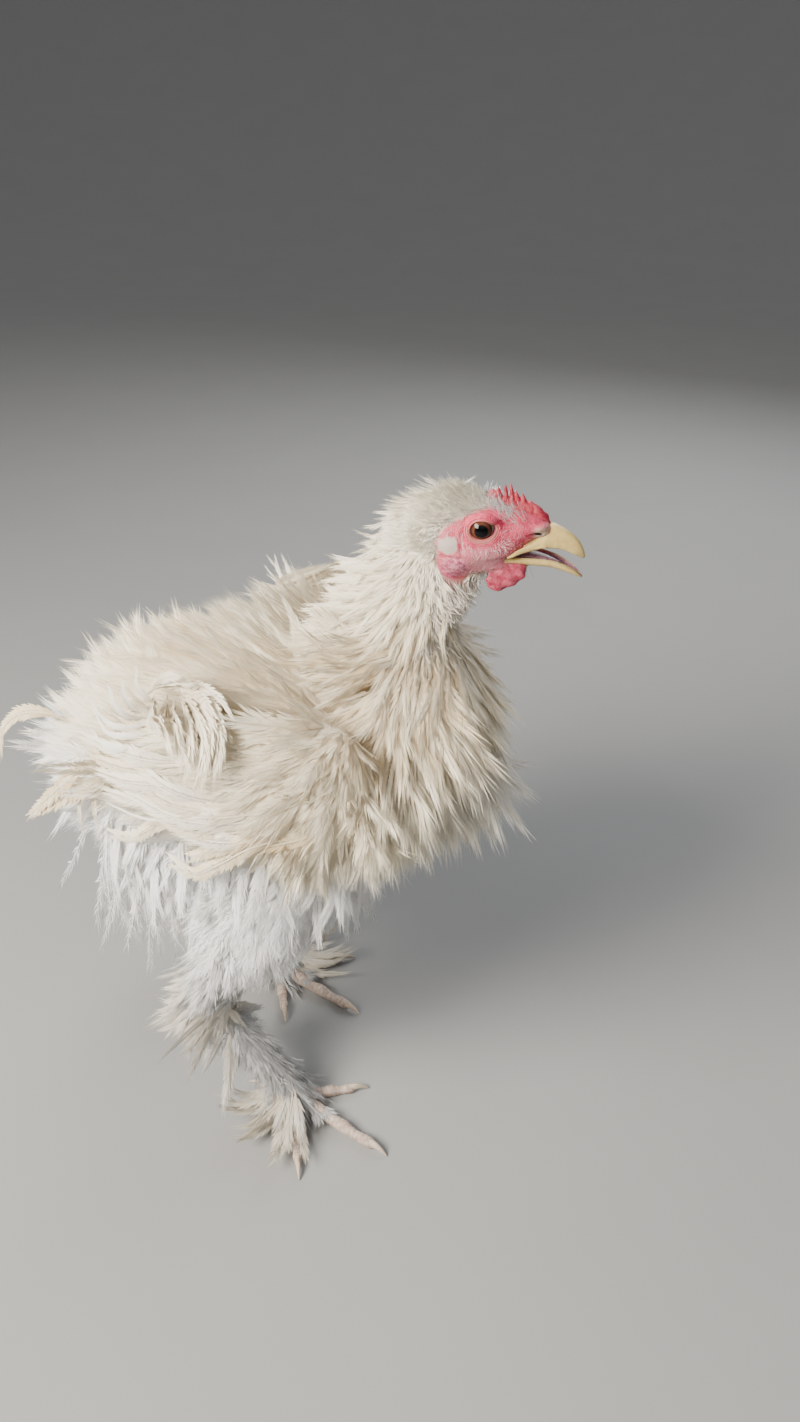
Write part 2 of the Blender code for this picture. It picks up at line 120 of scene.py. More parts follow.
class Finish:
    """A material under way: its Principled shader, and the one way to add a node."""

    def __init__(self, name, **sockets):
        self.material = bpy.data.materials.new(name)
        self.material.use_nodes = True
        self.tree = self.material.node_tree
        self.shader = self.tree.nodes["Principled BSDF"]
        for socket, value in sockets.items():
            self.shader.inputs[socket.replace("_", " ")].default_value = value

    def node(self, kind, settings=(), sockets=(), out=0):
        made = self.tree.nodes.new(kind)
        for key, value in dict(settings).items():
            if key == "stops":
                made.color_ramp.elements[0].position, made.color_ramp.elements[0].color = value[0]
                made.color_ramp.elements[1].position, made.color_ramp.elements[1].color = value[-1]
                for position, colour in value[1:-1]:
                    made.color_ramp.elements.new(position).color = colour
            else:
                setattr(made, key, value)
        for key, value in dict(sockets).items():
            self.put(made.inputs[key], value)
        return Wire(self, made.outputs[out])

    def put(self, socket, value):
        if isinstance(value, Wire):
            self.tree.links.new(value.socket, socket)
        else:
            socket.default_value = value

    def math_of(self, operation, *terms):
        return self.node("ShaderNodeMath", {"operation": operation}, dict(enumerate(terms)))

    def attribute(self, name):
        """A number that the mesh carries at its points."""
        return self.node("ShaderNodeAttribute", {"attribute_name": name}, out="Fac")

    def place(self):
        """Places in metres, as modelled."""
        return self.node("ShaderNodeTexCoord", out="Object")

    def noise(self, cells_per_metre, detail=3, roughness=0.6):
        sockets = {"Vector": self.place(), "Scale": cells_per_metre, "Detail": detail}
        return self.node("ShaderNodeTexNoise", sockets={**sockets, "Roughness": roughness})

    def grains(self, cells_per_metre):
        """0 in the middle of each small grain, rising to its edge."""
        return self.node("ShaderNodeTexVoronoi", sockets={"Vector": self.place(), "Scale": cells_per_metre})

    def blend(self, first, second, share):
        """Two colours mixed, share of the second."""
        mix = {"data_type": "RGBA", "clamp_factor": True}
        return self.node("ShaderNodeMix", mix, {0: share, 6: first, 7: second}, out=2)

    def step(self, value, low, high):
        """0 where value is under low, 1 over high, and smooth between."""
        sockets = {"Value": value, "From Min": low, "From Max": high}
        return self.node("ShaderNodeMapRange", {"interpolation_type": "SMOOTHSTEP"}, sockets)

    def bump(self, height, depth, strength=1.0):
        """Relief of that depth in metres from a height of 0 to 1."""
        sockets = {"Height": height, "Distance": depth, "Strength": strength}
        self.put(self.shader.inputs["Normal"], self.node("ShaderNodeBump", sockets=sockets))

    def colour(self, value):
        self.put(self.shader.inputs["Base Color"], value)

    def roughness(self, value):
        self.put(self.shader.inputs["Roughness"], value)


def rgb(red, green, blue):
    return (red, green, blue, 1)


studio_floor = Finish("studio_floor", Roughness=0.85)
floor_cloud = studio_floor.noise(9)
studio_floor.colour(studio_floor.blend(rgb(0.300, 0.298, 0.290), rgb(0.325, 0.322, 0.314), floor_cloud))
BOWL_FLAT, BOWL_REACH, BOWL_STEPS, BOWL_SIDES = 2.2, 3.4, 16, 96
bowl = bmesh.new()
rim = [bowl.verts.new((BOWL_FLAT * math.cos(a), BOWL_FLAT * math.sin(a), 0))
       for a in (2 * math.pi * k / BOWL_SIDES for k in range(BOWL_SIDES))]
bowl.faces.new(rim)
for step in range(1, BOWL_STEPS + 1):
    bend = math.pi / 2 * step / BOWL_STEPS
    reach, height = BOWL_FLAT + BOWL_REACH * math.sin(bend), BOWL_REACH * (1 - math.cos(bend))
    above = [bowl.verts.new((v.co.xy.normalized() * reach).to_3d() + Vector((0, 0, height))) for v in rim]
    for k in range(BOWL_SIDES):
        bowl.faces.new((rim[k], above[k], above[(k + 1) % BOWL_SIDES], rim[(k + 1) % BOWL_SIDES]))
    rim = above
floor_mesh = bpy.data.meshes.new("floor")
bowl.to_mesh(floor_mesh)
bowl.free()
floor_mesh.shade_smooth()
floor_mesh.materials.append(studio_floor.material)
floor = bpy.data.objects.new("floor", floor_mesh)
bpy.context.scene.collection.objects.link(floor)


# ================================================================== the skin
# One closed skin over head, neck, trunk, wings, legs and toes. It lies inside the coat by the coat's depth
# and comes up to the surface where the bird is bare: the face, the throat and the scaly toes.

STAND_AT = np.array(STAND)
HEAD_AT = Vector((0.1043, 0.0050, 0.3321)) + STAND
HEAD_TURN = math.radians(17)
HEAD_FRAME = Matrix.Translation(HEAD_AT) @ Matrix.Rotation(HEAD_TURN, 4, "Z")
SKIN_CELL = 0.0015

SIDES = {"right": -1, "left": 1}
STANCE = {
    "right": {"foot": (0.026, -0.041), "hock": (-0.012, -0.047, 0.066)},
    "left": {"foot": (-0.026, 0.041), "hock": (-0.062, 0.046, 0.066)},
}
TOE_HEADING = -12
TOES = {
    "hallux": {"angle": 172, "length": 0.020, "radius": 0.0029},
    "inner": {"angle": -45, "length": 0.033, "radius": 0.0033},
    "middle": {"angle": 0, "length": 0.053, "radius": 0.0036},
    "outer": {"angle": 48, "length": 0.040, "radius": 0.0033},
}
SOLE_HEIGHT = 0.0125


def smooth_rows(stations, count):
    """Stations read again at even steps along a smooth curve through them."""
    rows = np.array(stations, float)
    steps = np.linalg.norm(np.diff(rows[:, :3], axis=0), axis=1)
    at = np.concatenate([[0], np.cumsum(steps)]) / steps.sum()
    slope = np.gradient(rows, at, axis=0)
    want = np.linspace(0, 1, count)
    k = np.clip(np.searchsorted(at, want, side="right") - 1, 0, len(at) - 2)
    span = (at[k + 1] - at[k])[:, None]
    t = (want - at[k])[:, None] / span
    read = (
        rows[k] * (1 + 2 * t) * (1 - t) ** 2
        + slope[k] * span * t * (1 - t) ** 2
        + rows[k + 1] * t * t * (3 - 2 * t)
        - slope[k + 1] * span * t * t * (1 - t)
    )
    read[:, 3:] = np.maximum(read[:, 3:], rows[:, 3:].min())
    return read


def unit(vectors):
    """The same directions, each of length 1."""
    return vectors / np.maximum(np.linalg.norm(vectors, axis=-1, keepdims=True), 1e-12)


def tube(stations, across=(0, 1, 0), rings=24, segments=24, level=False, section=None):
    """A closed tube's points and faces, from (x, y, z, half size along across, half size square to it)."""
    rows = smooth_rows(stations, rings)
    path = rows[:, :3]
    ahead = np.tile([0.0, 0, -1], (rings, 1)) if level else unit(np.gradient(path, axis=0))
    side = unit(np.array(across, float) - ahead * (ahead @ np.array(across, float))[:, None])
    rise = np.cross(ahead, side)
    turn = 2 * math.pi * np.arange(segments) / segments
    c, s = section(turn) if section else (np.cos(turn), np.sin(turn))
    wide, high = c[None] * rows[:, 3:4], s[None] * rows[:, 4:5]
    reach = side[:, None] * wide[..., None] + rise[:, None] * high[..., None]
    points = (path[:, None] + reach).reshape(-1, 3)
    along = unit(np.gradient(path, axis=0))
    poles = [path[0] - along[0] * rows[0, 3:].min() * 0.6, path[-1] + along[-1] * rows[-1, 3:].min() * 0.6]
    after = lambda segment: (segment + 1) % segments
    faces = [
        (r * segments + s, r * segments + after(s), (r + 1) * segments + after(s), (r + 1) * segments + s)
        for r in range(rings - 1)
        for s in range(segments)
    ]
    last = (rings - 1) * segments
    faces += [(after(s), s, rings * segments) for s in range(segments)]
    faces += [(last + s, last + after(s), rings * segments + 1) for s in range(segments)]
    return np.vstack([points, poles]), faces


def placed(points, matrix):
    """Points taken from a frame of their own to their place."""
    m = np.array(matrix)
    return points @ m[:3, :3].T + m[:3, 3]


def mesh_of(name, parts):
    """One mesh from several (points, faces), faces turned outwards."""
    shape = bmesh.new()
    for points, faces in parts:
        corners = [shape.verts.new(p) for p in points]
        for face in faces:
            shape.faces.new([corners[i] for i in face])
    bmesh.ops.recalc_face_normals(shape, faces=shape.faces)
    mesh = bpy.data.meshes.new(name)
    shape.to_mesh(mesh)
    shape.free()
    mesh.shade_smooth()
    return mesh


def shown(name, mesh, finish, slot, *nodes):
    """Puts a piece on show in the place of its nodes."""
    obj = bpy.data.objects.new(name, mesh)
    bpy.context.scene.collection.objects.link(obj)
    for material in finish if isinstance(finish, (list, tuple)) else [finish]:
        mesh.materials.append(material.material)
    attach(obj, "root")
    if nodes:
        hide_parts(*nodes)
    return obj


def modified(mesh, kind, **settings):
    """The mesh after one modifier."""
    obj = bpy.data.objects.new("work", mesh)
    bpy.context.scene.collection.objects.link(obj)
    modifier = obj.modifiers.new("work", kind)
    for key, value in settings.items():
        setattr(modifier, key, value)
    made = bpy.data.meshes.new_from_object(obj.evaluated_get(bpy.context.evaluated_depsgraph_get()))
    bpy.data.objects.remove(obj)
    return made


def points_of(mesh, what="co"):
    """The places of a mesh's points, or their normals."""
    found = np.empty(len(mesh.vertices) * 3, np.float32)
    mesh.vertices.foreach_get(what, found)
    return found.reshape(-1, 3).astype(float)


def set_points(mesh, points):
    mesh.vertices.foreach_set("co", np.ascontiguousarray(points, np.float32).ravel())
    mesh.update()


def ramp(value, low, high):
    """0 where value is under low, 1 over high, and smooth between."""
    t = np.clip((value - low) / (high - low), 0, 1)
    return t * t * (3 - 2 * t)


# Each body part's path: (x, y, z, half width, half height or depth).
TRUNK = [
    (0.106, 0, 0.222, 0.010, 0.010), (0.096, 0, 0.222, 0.030, 0.028), (0.074, 0, 0.221, 0.047, 0.043),
    (0.045, 0, 0.216, 0.058, 0.050), (0.008, 0, 0.207, 0.061, 0.053), (-0.030, 0, 0.195, 0.056, 0.050),
    (-0.062, 0, 0.184, 0.044, 0.041), (-0.085, 0, 0.177, 0.028, 0.026), (-0.100, 0, 0.173, 0.013, 0.013),
]
NECK = [
    (0.0860, 0.0040, 0.334, 0.0100, 0.0125), (0.0840, 0.0038, 0.318, 0.0130, 0.0175),
    (0.0810, 0.0030, 0.302, 0.0160, 0.0205), (0.0735, 0.0018, 0.285, 0.0205, 0.0205),
    (0.0735, 0, 0.264, 0.0290, 0.0290), (0.0700, 0, 0.238, 0.0400, 0.0380),
]
HEAD = [
    (-0.0250, 0, -0.0060, 0.0050, 0.0050), (-0.0225, 0, -0.0058, 0.0100, 0.0105),
    (-0.0170, 0, -0.0050, 0.0140, 0.0145), (-0.0100, 0, -0.0050, 0.0154, 0.0156),
    (-0.0030, 0, -0.0055, 0.0152, 0.0148), (0.0040, 0, -0.0052, 0.0144, 0.0132),
    (0.0100, 0, -0.0044, 0.0124, 0.0110), (0.0160, 0, -0.0030, 0.0098, 0.0080),
    (0.0205, 0, -0.0026, 0.0078, 0.0052), (0.0240, 0, -0.0033, 0.0066, 0.0040),
    (0.0268, 0, -0.0040, 0.0050, 0.0028),
]
JAW = [
    (-0.0080, 0, -0.0130, 0.0115, 0.0085), (0.0000, 0, -0.0150, 0.0112, 0.0066),
    (0.0070, 0, -0.0162, 0.0098, 0.0046), (0.0130, 0, -0.0168, 0.0078, 0.0030),
    (0.0200, 0, -0.0176, 0.0052, 0.0018),
]


def wing_path(side):
    return [
        (0.074, side * 0.052, 0.250, 0.006, 0.010), (0.066, side * 0.057, 0.246, 0.009, 0.020),
        (0.046, side * 0.066, 0.238, 0.010, 0.026), (0.018, side * 0.070, 0.229, 0.009, 0.027),
        (-0.008, side * 0.068, 0.222, 0.007, 0.022), (-0.026, side * 0.064, 0.218, 0.004, 0.010),
    ]


def leg_path(side, stance):
    """From the hip, through the knee and hock, to the sole."""
    hock, (foot_x, foot_y) = Vector(stance["hock"]), stance["foot"]
    hip = Vector((0.020 + (hock.x + 0.037) * 0.3, side * 0.046, 0.168))
    knee = hip.lerp(hock, 0.32) + Vector((0.008, side * 0.005, 0))
    calf = hip.lerp(hock, 0.72) + Vector((-0.001, side * 0.002, 0))
    ankle = Vector((foot_x, foot_y, SOLE_HEIGHT))
    mid = hock.lerp(ankle, 0.5)
    return [
        (*hip, 0.018, 0.026), (*knee, 0.020, 0.023), (*calf, 0.0115, 0.0130), (*hock, 0.0072, 0.0084),
        (*mid, 0.0046, 0.0056), (*hock.lerp(ankle, 0.85), 0.0050, 0.0058),
        (foot_x, foot_y, 0.0070, 0.0072, 0.0074), (foot_x, foot_y, 0.0035, 0.0060, 0.0062),
    ]


def toe_line(side, stance, toe):
    """The toe's start, its heading and the direction square to it on the floor."""
    bearing = math.radians(TOE_HEADING + side * toe["angle"])
    heading = np.array([math.cos(bearing), math.sin(bearing), 0])
    return np.array([*stance["foot"], 0.0]), heading, np.array([-heading[1], heading[0], 0])


def toe_path(side, stance, toe):
    """A toe along the floor, with a swelling at each joint."""
    start, heading, _ = toe_line(side, stance, toe)
    rows = []
    for share in np.linspace(0.05, 1, 14):
        joint = 0.10 * math.cos(share * 2 * math.pi * 3.2)
        thick = toe["radius"] * (1.12 - 0.38 * share + joint)
        at = start + heading * toe["length"] * share
        rows.append((at[0], at[1], thick * 0.93 + 0.0030 * (1 - share) ** 3, thick, thick))
    return rows


BODY_PARTS = {"trunk": TRUNK, "neck": NECK}
for name, side in SIDES.items():
    BODY_PARTS["wing_" + name] = wing_path(side)
    BODY_PARTS["leg_" + name] = leg_path(side, STANCE[name])

flesh = [tube(HEAD, rings=40, segments=40), tube(JAW, rings=20, segments=28)]
flesh = [(placed(points, HEAD_FRAME), faces) for points, faces in flesh]
for name, path in BODY_PARTS.items():
    points, faces = tube(path, rings=40, segments=36, level=name[:3] in ("nec", "leg"))
    flesh.append((points + STAND_AT, faces))
for name, side in SIDES.items():
    for toe in TOES.values():
        _, _, square = toe_line(side, STANCE[name], toe)
        points, faces = tube(toe_path(side, STANCE[name], toe), across=square, rings=30, segments=16)
        flesh.append((points + STAND_AT, faces))

skin_mesh = modified(mesh_of("skin", flesh), "REMESH", mode="VOXEL", voxel_size=SKIN_CELL)
skin_mesh = modified(skin_mesh, "SMOOTH", factor=0.5, iterations=4)


def in_head(points):
    """Places (u forward, v left, w up) from the point between the eyes."""
    return placed(points, HEAD_FRAME.inverted())


HEAD_HALF = 0.03
FACE_SPLIT, FACE_SPLIT_AGAIN, TOES_SPLIT = 1.35, 1.25, 0.016


def refine(mesh, wanted):
    """Splits the faces whose middle is wanted, once."""
    shape = bmesh.new()
    shape.from_mesh(mesh)
    middles = np.array([face.calc_center_median() for face in shape.faces])
    chosen = wanted(middles)
    edges = {edge for face, take in zip(shape.faces, chosen) if take for edge in face.edges}
    bmesh.ops.subdivide_edges(shape, edges=list(edges), cuts=1, use_grid_fill=True, smooth=0.4)
    shape.to_mesh(mesh)
    shape.free()


def face_zone(points):
    """Where the head is bare, 0 inside and rising past 1 outside: the face and the lobe behind the jaw."""
    u, v, w = in_head(points).T
    face = ((u - 0.0068) / 0.0245) ** 2 + ((w + 0.0062) / 0.0136) ** 2
    lobe = ((u + 0.0075) / 0.0095) ** 2 + ((w + 0.0140) / 0.0095) ** 2
    return np.where(np.abs(v) < HEAD_HALF, np.minimum(face, lobe), 9)


refine(skin_mesh, lambda points: (face_zone(points) < FACE_SPLIT) | (points[:, 2] < TOES_SPLIT))
refine(skin_mesh, lambda points: face_zone(points) < FACE_SPLIT_AGAIN)

EYE_AT = (0.0002, 0.0100, 0.0)
EYE_RADIUS = 0.0055
LID_BACK, LID_FRONT, LID_HALF = 0.0041, 0.0060, 0.0037
SOCKET_LONG, SOCKET_HIGH, SOCKET_DEEP = 0.0049, 0.0040, 0.0045
SIDE_FROM = 0.006


def hump(points, centre, spread, height, side):
    """How far a soft swelling lifts each point of one side of the face."""
    u, v, w = in_head(points).T
    fall = np.exp(-(((u - centre[0]) / spread[0]) ** 2) - ((w - centre[1]) / spread[1]) ** 2)
    return height * fall * ramp(v * side, 0.001, 0.006)


points, normals = points_of(skin_mesh), points_of(skin_mesh, "normal")
swell = np.zeros(len(points))
for side in SIDES.values():
    swell += hump(points, (0.0010, 0.0064), (0.0070, 0.0018), 0.0004, side)     # brow
    swell -= hump(points, (0.0120, -0.0010), (0.0040, 0.0040), 0.0005, side)    # hollow before the eye
    swell += hump(points, (0.0010, -0.0105), (0.0080, 0.0040), 0.0008, side)    # cheek
    swell += hump(points, (-0.0121, -0.0061), (0.0044, 0.0036), 0.0005, side)   # earlobe
    swell += hump(points, (0.0232, -0.0016), (0.0030, 0.0012), 0.0008, side)    # flap over the nostril
    swell -= hump(points, (0.0222, -0.0037), (0.0019, 0.0006), 0.0016, side)    # nostril
    swell -= hump(points, (-0.0068, -0.0055), (0.0010, 0.0050), 0.0005, side)   # groove before the earlobe
    swell += hump(points, (-0.0092, -0.0165), (0.0056, 0.0050), 0.0028, side)   # red lobe below it
    swell -= hump(points, (-0.0110, -0.0112), (0.0045, 0.0007), 0.0007, side)   # crease between the two
    swell -= hump(points, (0.0080, -0.0126), (0.0050, 0.0006), 0.0007, side)    # fold behind the mouth
    swell += hump(points, (0.0090, -0.0108), (0.0050, 0.0010), 0.0005, side)    # ridge over that fold
points += normals * swell[:, None]

u, v, w = in_head(points).T
inside = ((u - EYE_AT[0] - 0.0005) / SOCKET_LONG) ** 2 + (w / SOCKET_HIGH) ** 2
sink = (1 - ramp(inside, 0.55, 1.05)) * (np.abs(v) > SIDE_FROM) * SOCKET_DEEP
inward = np.stack([np.zeros(len(v)), -np.sign(v) * sink, np.zeros(len(v))], axis=1)
points = placed(np.stack([u, v, w], axis=1) + inward, HEAD_FRAME)

SCUTE = 0.0026
SCUTE_LIFT = 0.00034
TOE_TOP = 0.012
scale_along = np.zeros(len(points))
for name, side in SIDES.items():
    for toe in TOES.values():
        start, heading, square = toe_line(side, STANCE[name], toe)
        away = points - start - STAND_AT
        along, beside = away @ heading, away @ square
        on_toe = (np.abs(beside) < 0.0050) & (along > 0.006) & (along < toe["length"] * 1.08)
        on_toe &= points[:, 2] < TOE_TOP
        phase = (along / SCUTE) % 1
        lift = SCUTE_LIFT * (1 - phase) ** 1.5 * ramp(normals[:, 2], 0.0, 0.5)
        points += normals * (lift * on_toe)[:, None]
        scale_along = np.where(on_toe, along / SCUTE, scale_along)
points[:, 2] = np.maximum(points[:, 2], 0)
set_points(skin_mesh, points)


def keep_number(mesh, name, values):
    """Gives the mesh a number at each of its points."""
    mesh.attributes.new(name, "FLOAT", "POINT").data.foreach_set("value", np.asarray(values, np.float32))


def drift(places, cell, seed):
    """A smooth number, from about -1 to 1, that changes over about one cell."""
    waves = np.random.default_rng(seed)
    turns = waves.normal(size=(6, 3)) * 1.8 / cell
    return np.sin(places @ turns.T + waves.uniform(0, 2 * math.pi, 6)).mean(axis=1) * 1.8


def spot(places, centre, spread):
    """1 at the centre of a soft round patch that shows on both sides, falling to 0."""
    away = (places * (1, 0, 1) + np.abs(places) * (0, 1, 0) - np.array(centre)) / np.array(spread)
    return np.exp(-(away**2).sum(axis=1))


# Where the plumage is warm and tan: how strongly, the middle of the patch, and how far it spreads.
TAN_PATCHES = {
    "wings": (0.85, (0.030, 0.085, 0.225), (0.060, 0.035, 0.040)),
    "back": (0.92, (0.000, 0.030, 0.265), (0.085, 0.050, 0.030)),
    "crop": (1.00, (0.092, 0.032, 0.282), (0.035, 0.030, 0.032)),
    "tip of the tail": (0.90, (-0.120, 0.030, 0.180), (0.045, 0.050, 0.035)),
}


def stained(places):
    """How warm and tan the plumage is at each place, from 0 to 1."""
    warm = {name: strength * spot(places, middle, spread)
            for name, (strength, middle, spread) in TAN_PATCHES.items()}
    warm["wings"] = warm["wings"] * ramp(places[:, 2], 0.188, 0.210)
    return np.clip(np.max(list(warm.values()), axis=0) * (0.85 + 0.35 * drift(places, 0.030, 5)), 0, 1)


def cooled(places):
    """How cool and white it is: the thighs, belly and fluff, and a little the front of the breast."""
    low = 1 - ramp(places[:, 2], 0.190, 0.226)
    front = 0.6 * ramp(places[:, 0], 0.085, 0.120) * (1 - ramp(places[:, 2], 0.24, 0.28))
    return np.maximum(low, front)


def throat_skin(u, w):
    """1 under the jaw and down the front of the neck, where pink skin shows between sparse feathers."""
    return np.exp(-(((u + 0.006) / 0.013) ** 4)) * ramp(-w, 0.016, 0.024) * ramp(w, -0.052, -0.038)


u, v, w = in_head(points).T
on_side = np.abs(v) > SIDE_FROM
bare = 1 - ramp(face_zone(points), 0.80, 1.12)
lobe = ((u + 0.0121) / 0.0040) ** 2 + ((w + 0.0061) / 0.0037) ** 2
keep_number(skin_mesh, "bare", np.maximum(bare, throat_skin(u, w) * 0.70))
uneven = 0.14 * np.sin(u * 2100) + 0.12 * np.sin(w * 1700 + u * 900)
keep_number(skin_mesh, "lobe", (1 - ramp(lobe + uneven, 0.65, 1.35)) * (np.abs(v) > 0.008))
low_lobe = ((u + 0.0092) / 0.0064) ** 2 + ((w + 0.0165) / 0.0058) ** 2
throat_streak = np.exp(-(((u + 0.0040) / 0.0014) ** 2) - ((w + 0.0440) / 0.0070) ** 2)
keep_number(skin_mesh, "low_lobe", np.maximum((1 - ramp(low_lobe, 0.4, 1.3)) * on_side, throat_streak))
keep_number(skin_mesh, "cheek", np.exp(-(((u - 0.0020) / 0.0090) ** 2) - ((w + 0.0140) / 0.0060) ** 2))
lid_ring = np.sqrt(inside)
keep_number(skin_mesh, "rim", np.exp(-((lid_ring - 1.15) / 0.28) ** 2) * on_side)
keep_number(skin_mesh, "ring", np.where(on_side, np.minimum(lid_ring, 3), 3))
slit = w + 0.0037 + 0.25 * (u - 0.0222)
nostril = np.exp(-((u - 0.0222) / 0.0020) ** 2 - (slit / 0.0006) ** 2) * (np.abs(v) > 0.003)
keep_number(skin_mesh, "nostril", nostril)
keep_number(skin_mesh, "flap", np.exp(-(((u - 0.0238) / 0.0034) ** 4) - ((w + 0.0036) / 0.0028) ** 4))
in_gape = ramp(u, 0.0105, 0.0125) * ramp(-w, 0.0096, 0.0112) * (1 - ramp(-w, 0.0138, 0.0150))
keep_number(skin_mesh, "gape", in_gape * (np.abs(v) < 0.0088))
keep_number(skin_mesh, "scaly", 1 - ramp(points[:, 2], 0.013, 0.030))
keep_number(skin_mesh, "scute", scale_along)
keep_number(skin_mesh, "stain", stained(points - STAND_AT))
keep_number(skin_mesh, "cool", cooled(points - STAND_AT))


def lid(side):
    """The rim of both lids round one eye: a soft roll that hugs the eyeball and sinks into the face."""
    turn = 2 * math.pi * np.arange(72) / 72
    reach = np.where(np.cos(turn) > 0, LID_FRONT, LID_BACK)
    opening_w = LID_HALF * np.sin(turn) * (1 - 0.25 * ramp(np.cos(turn), 0.2, 1.0))
    rim = np.stack([reach * np.cos(turn), opening_w], axis=1)
    out = unit(rim * np.array([1, 1.6]))
    profile = [(-0.0002, -0.0009), (-0.0002, 0.0001), (0.0001, 0.0005), (0.0006, 0.0006), (0.0011, 0.0002),
               (0.0015, 0.0002), (0.0020, -0.0004), (0.0028, -0.0014)]
    rings = []
    for wider, rise in profile:
        crease = 1 + 0.10 * np.sin(turn * 9 + wider * 4000) * (wider > 0.0005)
        flat = rim + out * wider
        ball = np.sqrt(np.maximum(EYE_RADIUS**2 - (rim**2).sum(axis=1), 0.0018**2))
        out_v = EYE_AT[1] + ball + rise * crease
        rings.append(np.stack([EYE_AT[0] + flat[:, 0], side * out_v, EYE_AT[2] + flat[:, 1]], axis=1))
    count = len(turn)
    faces = [
        (r * count + s, r * count + (s + 1) % count, (r + 1) * count + (s + 1) % count, (r + 1) * count + s)
        for r in range(len(profile) - 1)
        for s in range(count)
    ]
    if side < 0:
        faces = [face[::-1] for face in faces]
    return placed(np.vstack(rings), HEAD_FRAME), faces


def unwrap(mesh, groups):
    """Lays each group of faces flat, in its own box (left, low, width, height) of the map."""
    obj = bpy.data.objects.new("unwrap", mesh)
    bpy.context.scene.collection.objects.link(obj)
    bpy.context.view_layer.objects.active = obj
    mesh.uv_layers.new(name="OFBake")
    uv = np.zeros(len(mesh.loops) * 2, np.float32)
    starts = np.empty(len(mesh.polygons), int)
    totals = np.empty(len(mesh.polygons), int)
    mesh.polygons.foreach_get("loop_start", starts)
    mesh.polygons.foreach_get("loop_total", totals)
    owner = np.repeat(np.arange(len(starts)), totals)
    final = uv.reshape(-1, 2).copy()
    for chosen, (left, low, width, height) in groups:
        mesh.polygons.foreach_set("select", chosen)
        obj.select_set(True)
        bpy.ops.object.mode_set(mode="EDIT")
        bpy.ops.uv.smart_project(angle_limit=math.radians(72), island_margin=0.004)
        bpy.ops.object.mode_set(mode="OBJECT")
        mesh.uv_layers["OFBake"].uv.foreach_get("vector", uv)
        mine = chosen[owner]
        final[mine] = uv.reshape(-1, 2)[mine] * (width, height) + (left, low)
    mesh.uv_layers["OFBake"].uv.foreach_set("vector", final.ravel())
    bpy.data.objects.remove(obj)
    mesh.polygons.foreach_set("select", np.zeros(len(mesh.polygons), bool))


def middles_of(mesh):
    """The middle of each face."""
    found = np.empty(len(mesh.polygons) * 3, np.float32)
    mesh.polygons.foreach_get("center", found)
    return found.reshape(-1, 3).astype(float)


middles = middles_of(skin_mesh)
on_face = face_zone(middles) < 1.3
on_feet = ~on_face & (middles[:, 2] < 0.02)
unwrap(skin_mesh, [
    (on_face, (0.0, 0.56, 0.54, 0.44)),
    (on_feet, (0.56, 0.56, 0.44, 0.44)),
    (~on_face & ~on_feet, (0, 0, 1, 0.54)),
])

skin = Finish("bare_skin", Subsurface_Weight=0.10, Subsurface_Scale=0.003, Specular_IOR_Level=0.35)
skin.shader.inputs["Subsurface Radius"].default_value = (1.0, 0.35, 0.25)
bare_share, lobe_share, rim_share = (skin.attribute(key) for key in ("bare", "lobe", "rim"))
scaly, scute, ring = (skin.attribute(key) for key in ("scaly", "scute", "ring"))
blotch, speck, fine = skin.noise(240, 4), skin.noise(1500, 3), skin.grains(2300)
red = skin.blend(rgb(0.63, 0.030, 0.084), rgb(0.85, 0.105, 0.190), skin.step(blotch, 0.36, 0.60))
red = skin.blend(red, rgb(0.88, 0.46, 0.51), skin.step(speck, 0.50, 0.80) * 0.34)
red = skin.blend(red, rgb(0.34, 0.030, 0.055), skin.step(fine, 0.42, 0.75) * 0.50)
red = skin.blend(red, rgb(0.82, 0.42, 0.44), (1 - skin.step(fine, 0.05, 0.30)) * 0.38)
red = skin.blend(red, rgb(0.46, 0.20, 0.15), skin.step(rim_share, 0.45, 1.1) * 0.85)
purple = skin.blend(rgb(0.36, 0.045, 0.13), rgb(0.70, 0.30, 0.37), skin.step(skin.noise(700, 3), 0.40, 0.62))
red = skin.blend(red, rgb(0.86, 0.55, 0.61), skin.attribute("cheek") * 0.48)
red = skin.blend(red, purple, skin.attribute("low_lobe") * 0.85)
pale = skin.blend(
    rgb(0.82, 0.74, 0.60), rgb(0.74, 0.58, 0.36), skin.attribute("stain") * (0.5 + 0.5 * blotch),
)
pale = skin.blend(pale, rgb(0.83, 0.83, 0.83), skin.attribute("cool"))
coloured = skin.blend(pale, red, bare_share)
lobe_skin = skin.blend(rgb(0.58, 0.50, 0.44), rgb(0.56, 0.40, 0.37), speck * 0.7)
coloured = skin.blend(coloured, lobe_skin, lobe_share)
flap_horn = skin.blend(rgb(0.50, 0.36, 0.27), rgb(0.64, 0.50, 0.38), speck)
coloured = skin.blend(coloured, flap_horn, skin.attribute("flap"))
# Near black in the nostril's slit: painted shade of its opening.
coloured = skin.blend(coloured, rgb(0.05, 0.02, 0.02), skin.step(skin.attribute("nostril"), 0.25, 0.6))
coloured = skin.blend(coloured, rgb(0.22, 0.085, 0.11), skin.attribute("gape"))
seam = skin.math_of("FRACT", scute)
toe_skin = skin.blend(
    rgb(0.48, 0.35, 0.28), rgb(0.64, 0.51, 0.43), skin.step(skin.noise(420, 4), 0.35, 0.65),
)
toe_skin = skin.blend(toe_skin, rgb(0.20, 0.13, 0.09), skin.step(seam, 0.80, 1.0) * 0.65)
toe_skin = skin.blend(toe_skin, rgb(0.26, 0.17, 0.11), skin.step(skin.noise(140, 5), 0.52, 0.70) * 0.55)
skin.colour(skin.blend(coloured, toe_skin, scaly))
skin.roughness(0.42 + 0.25 * speck)
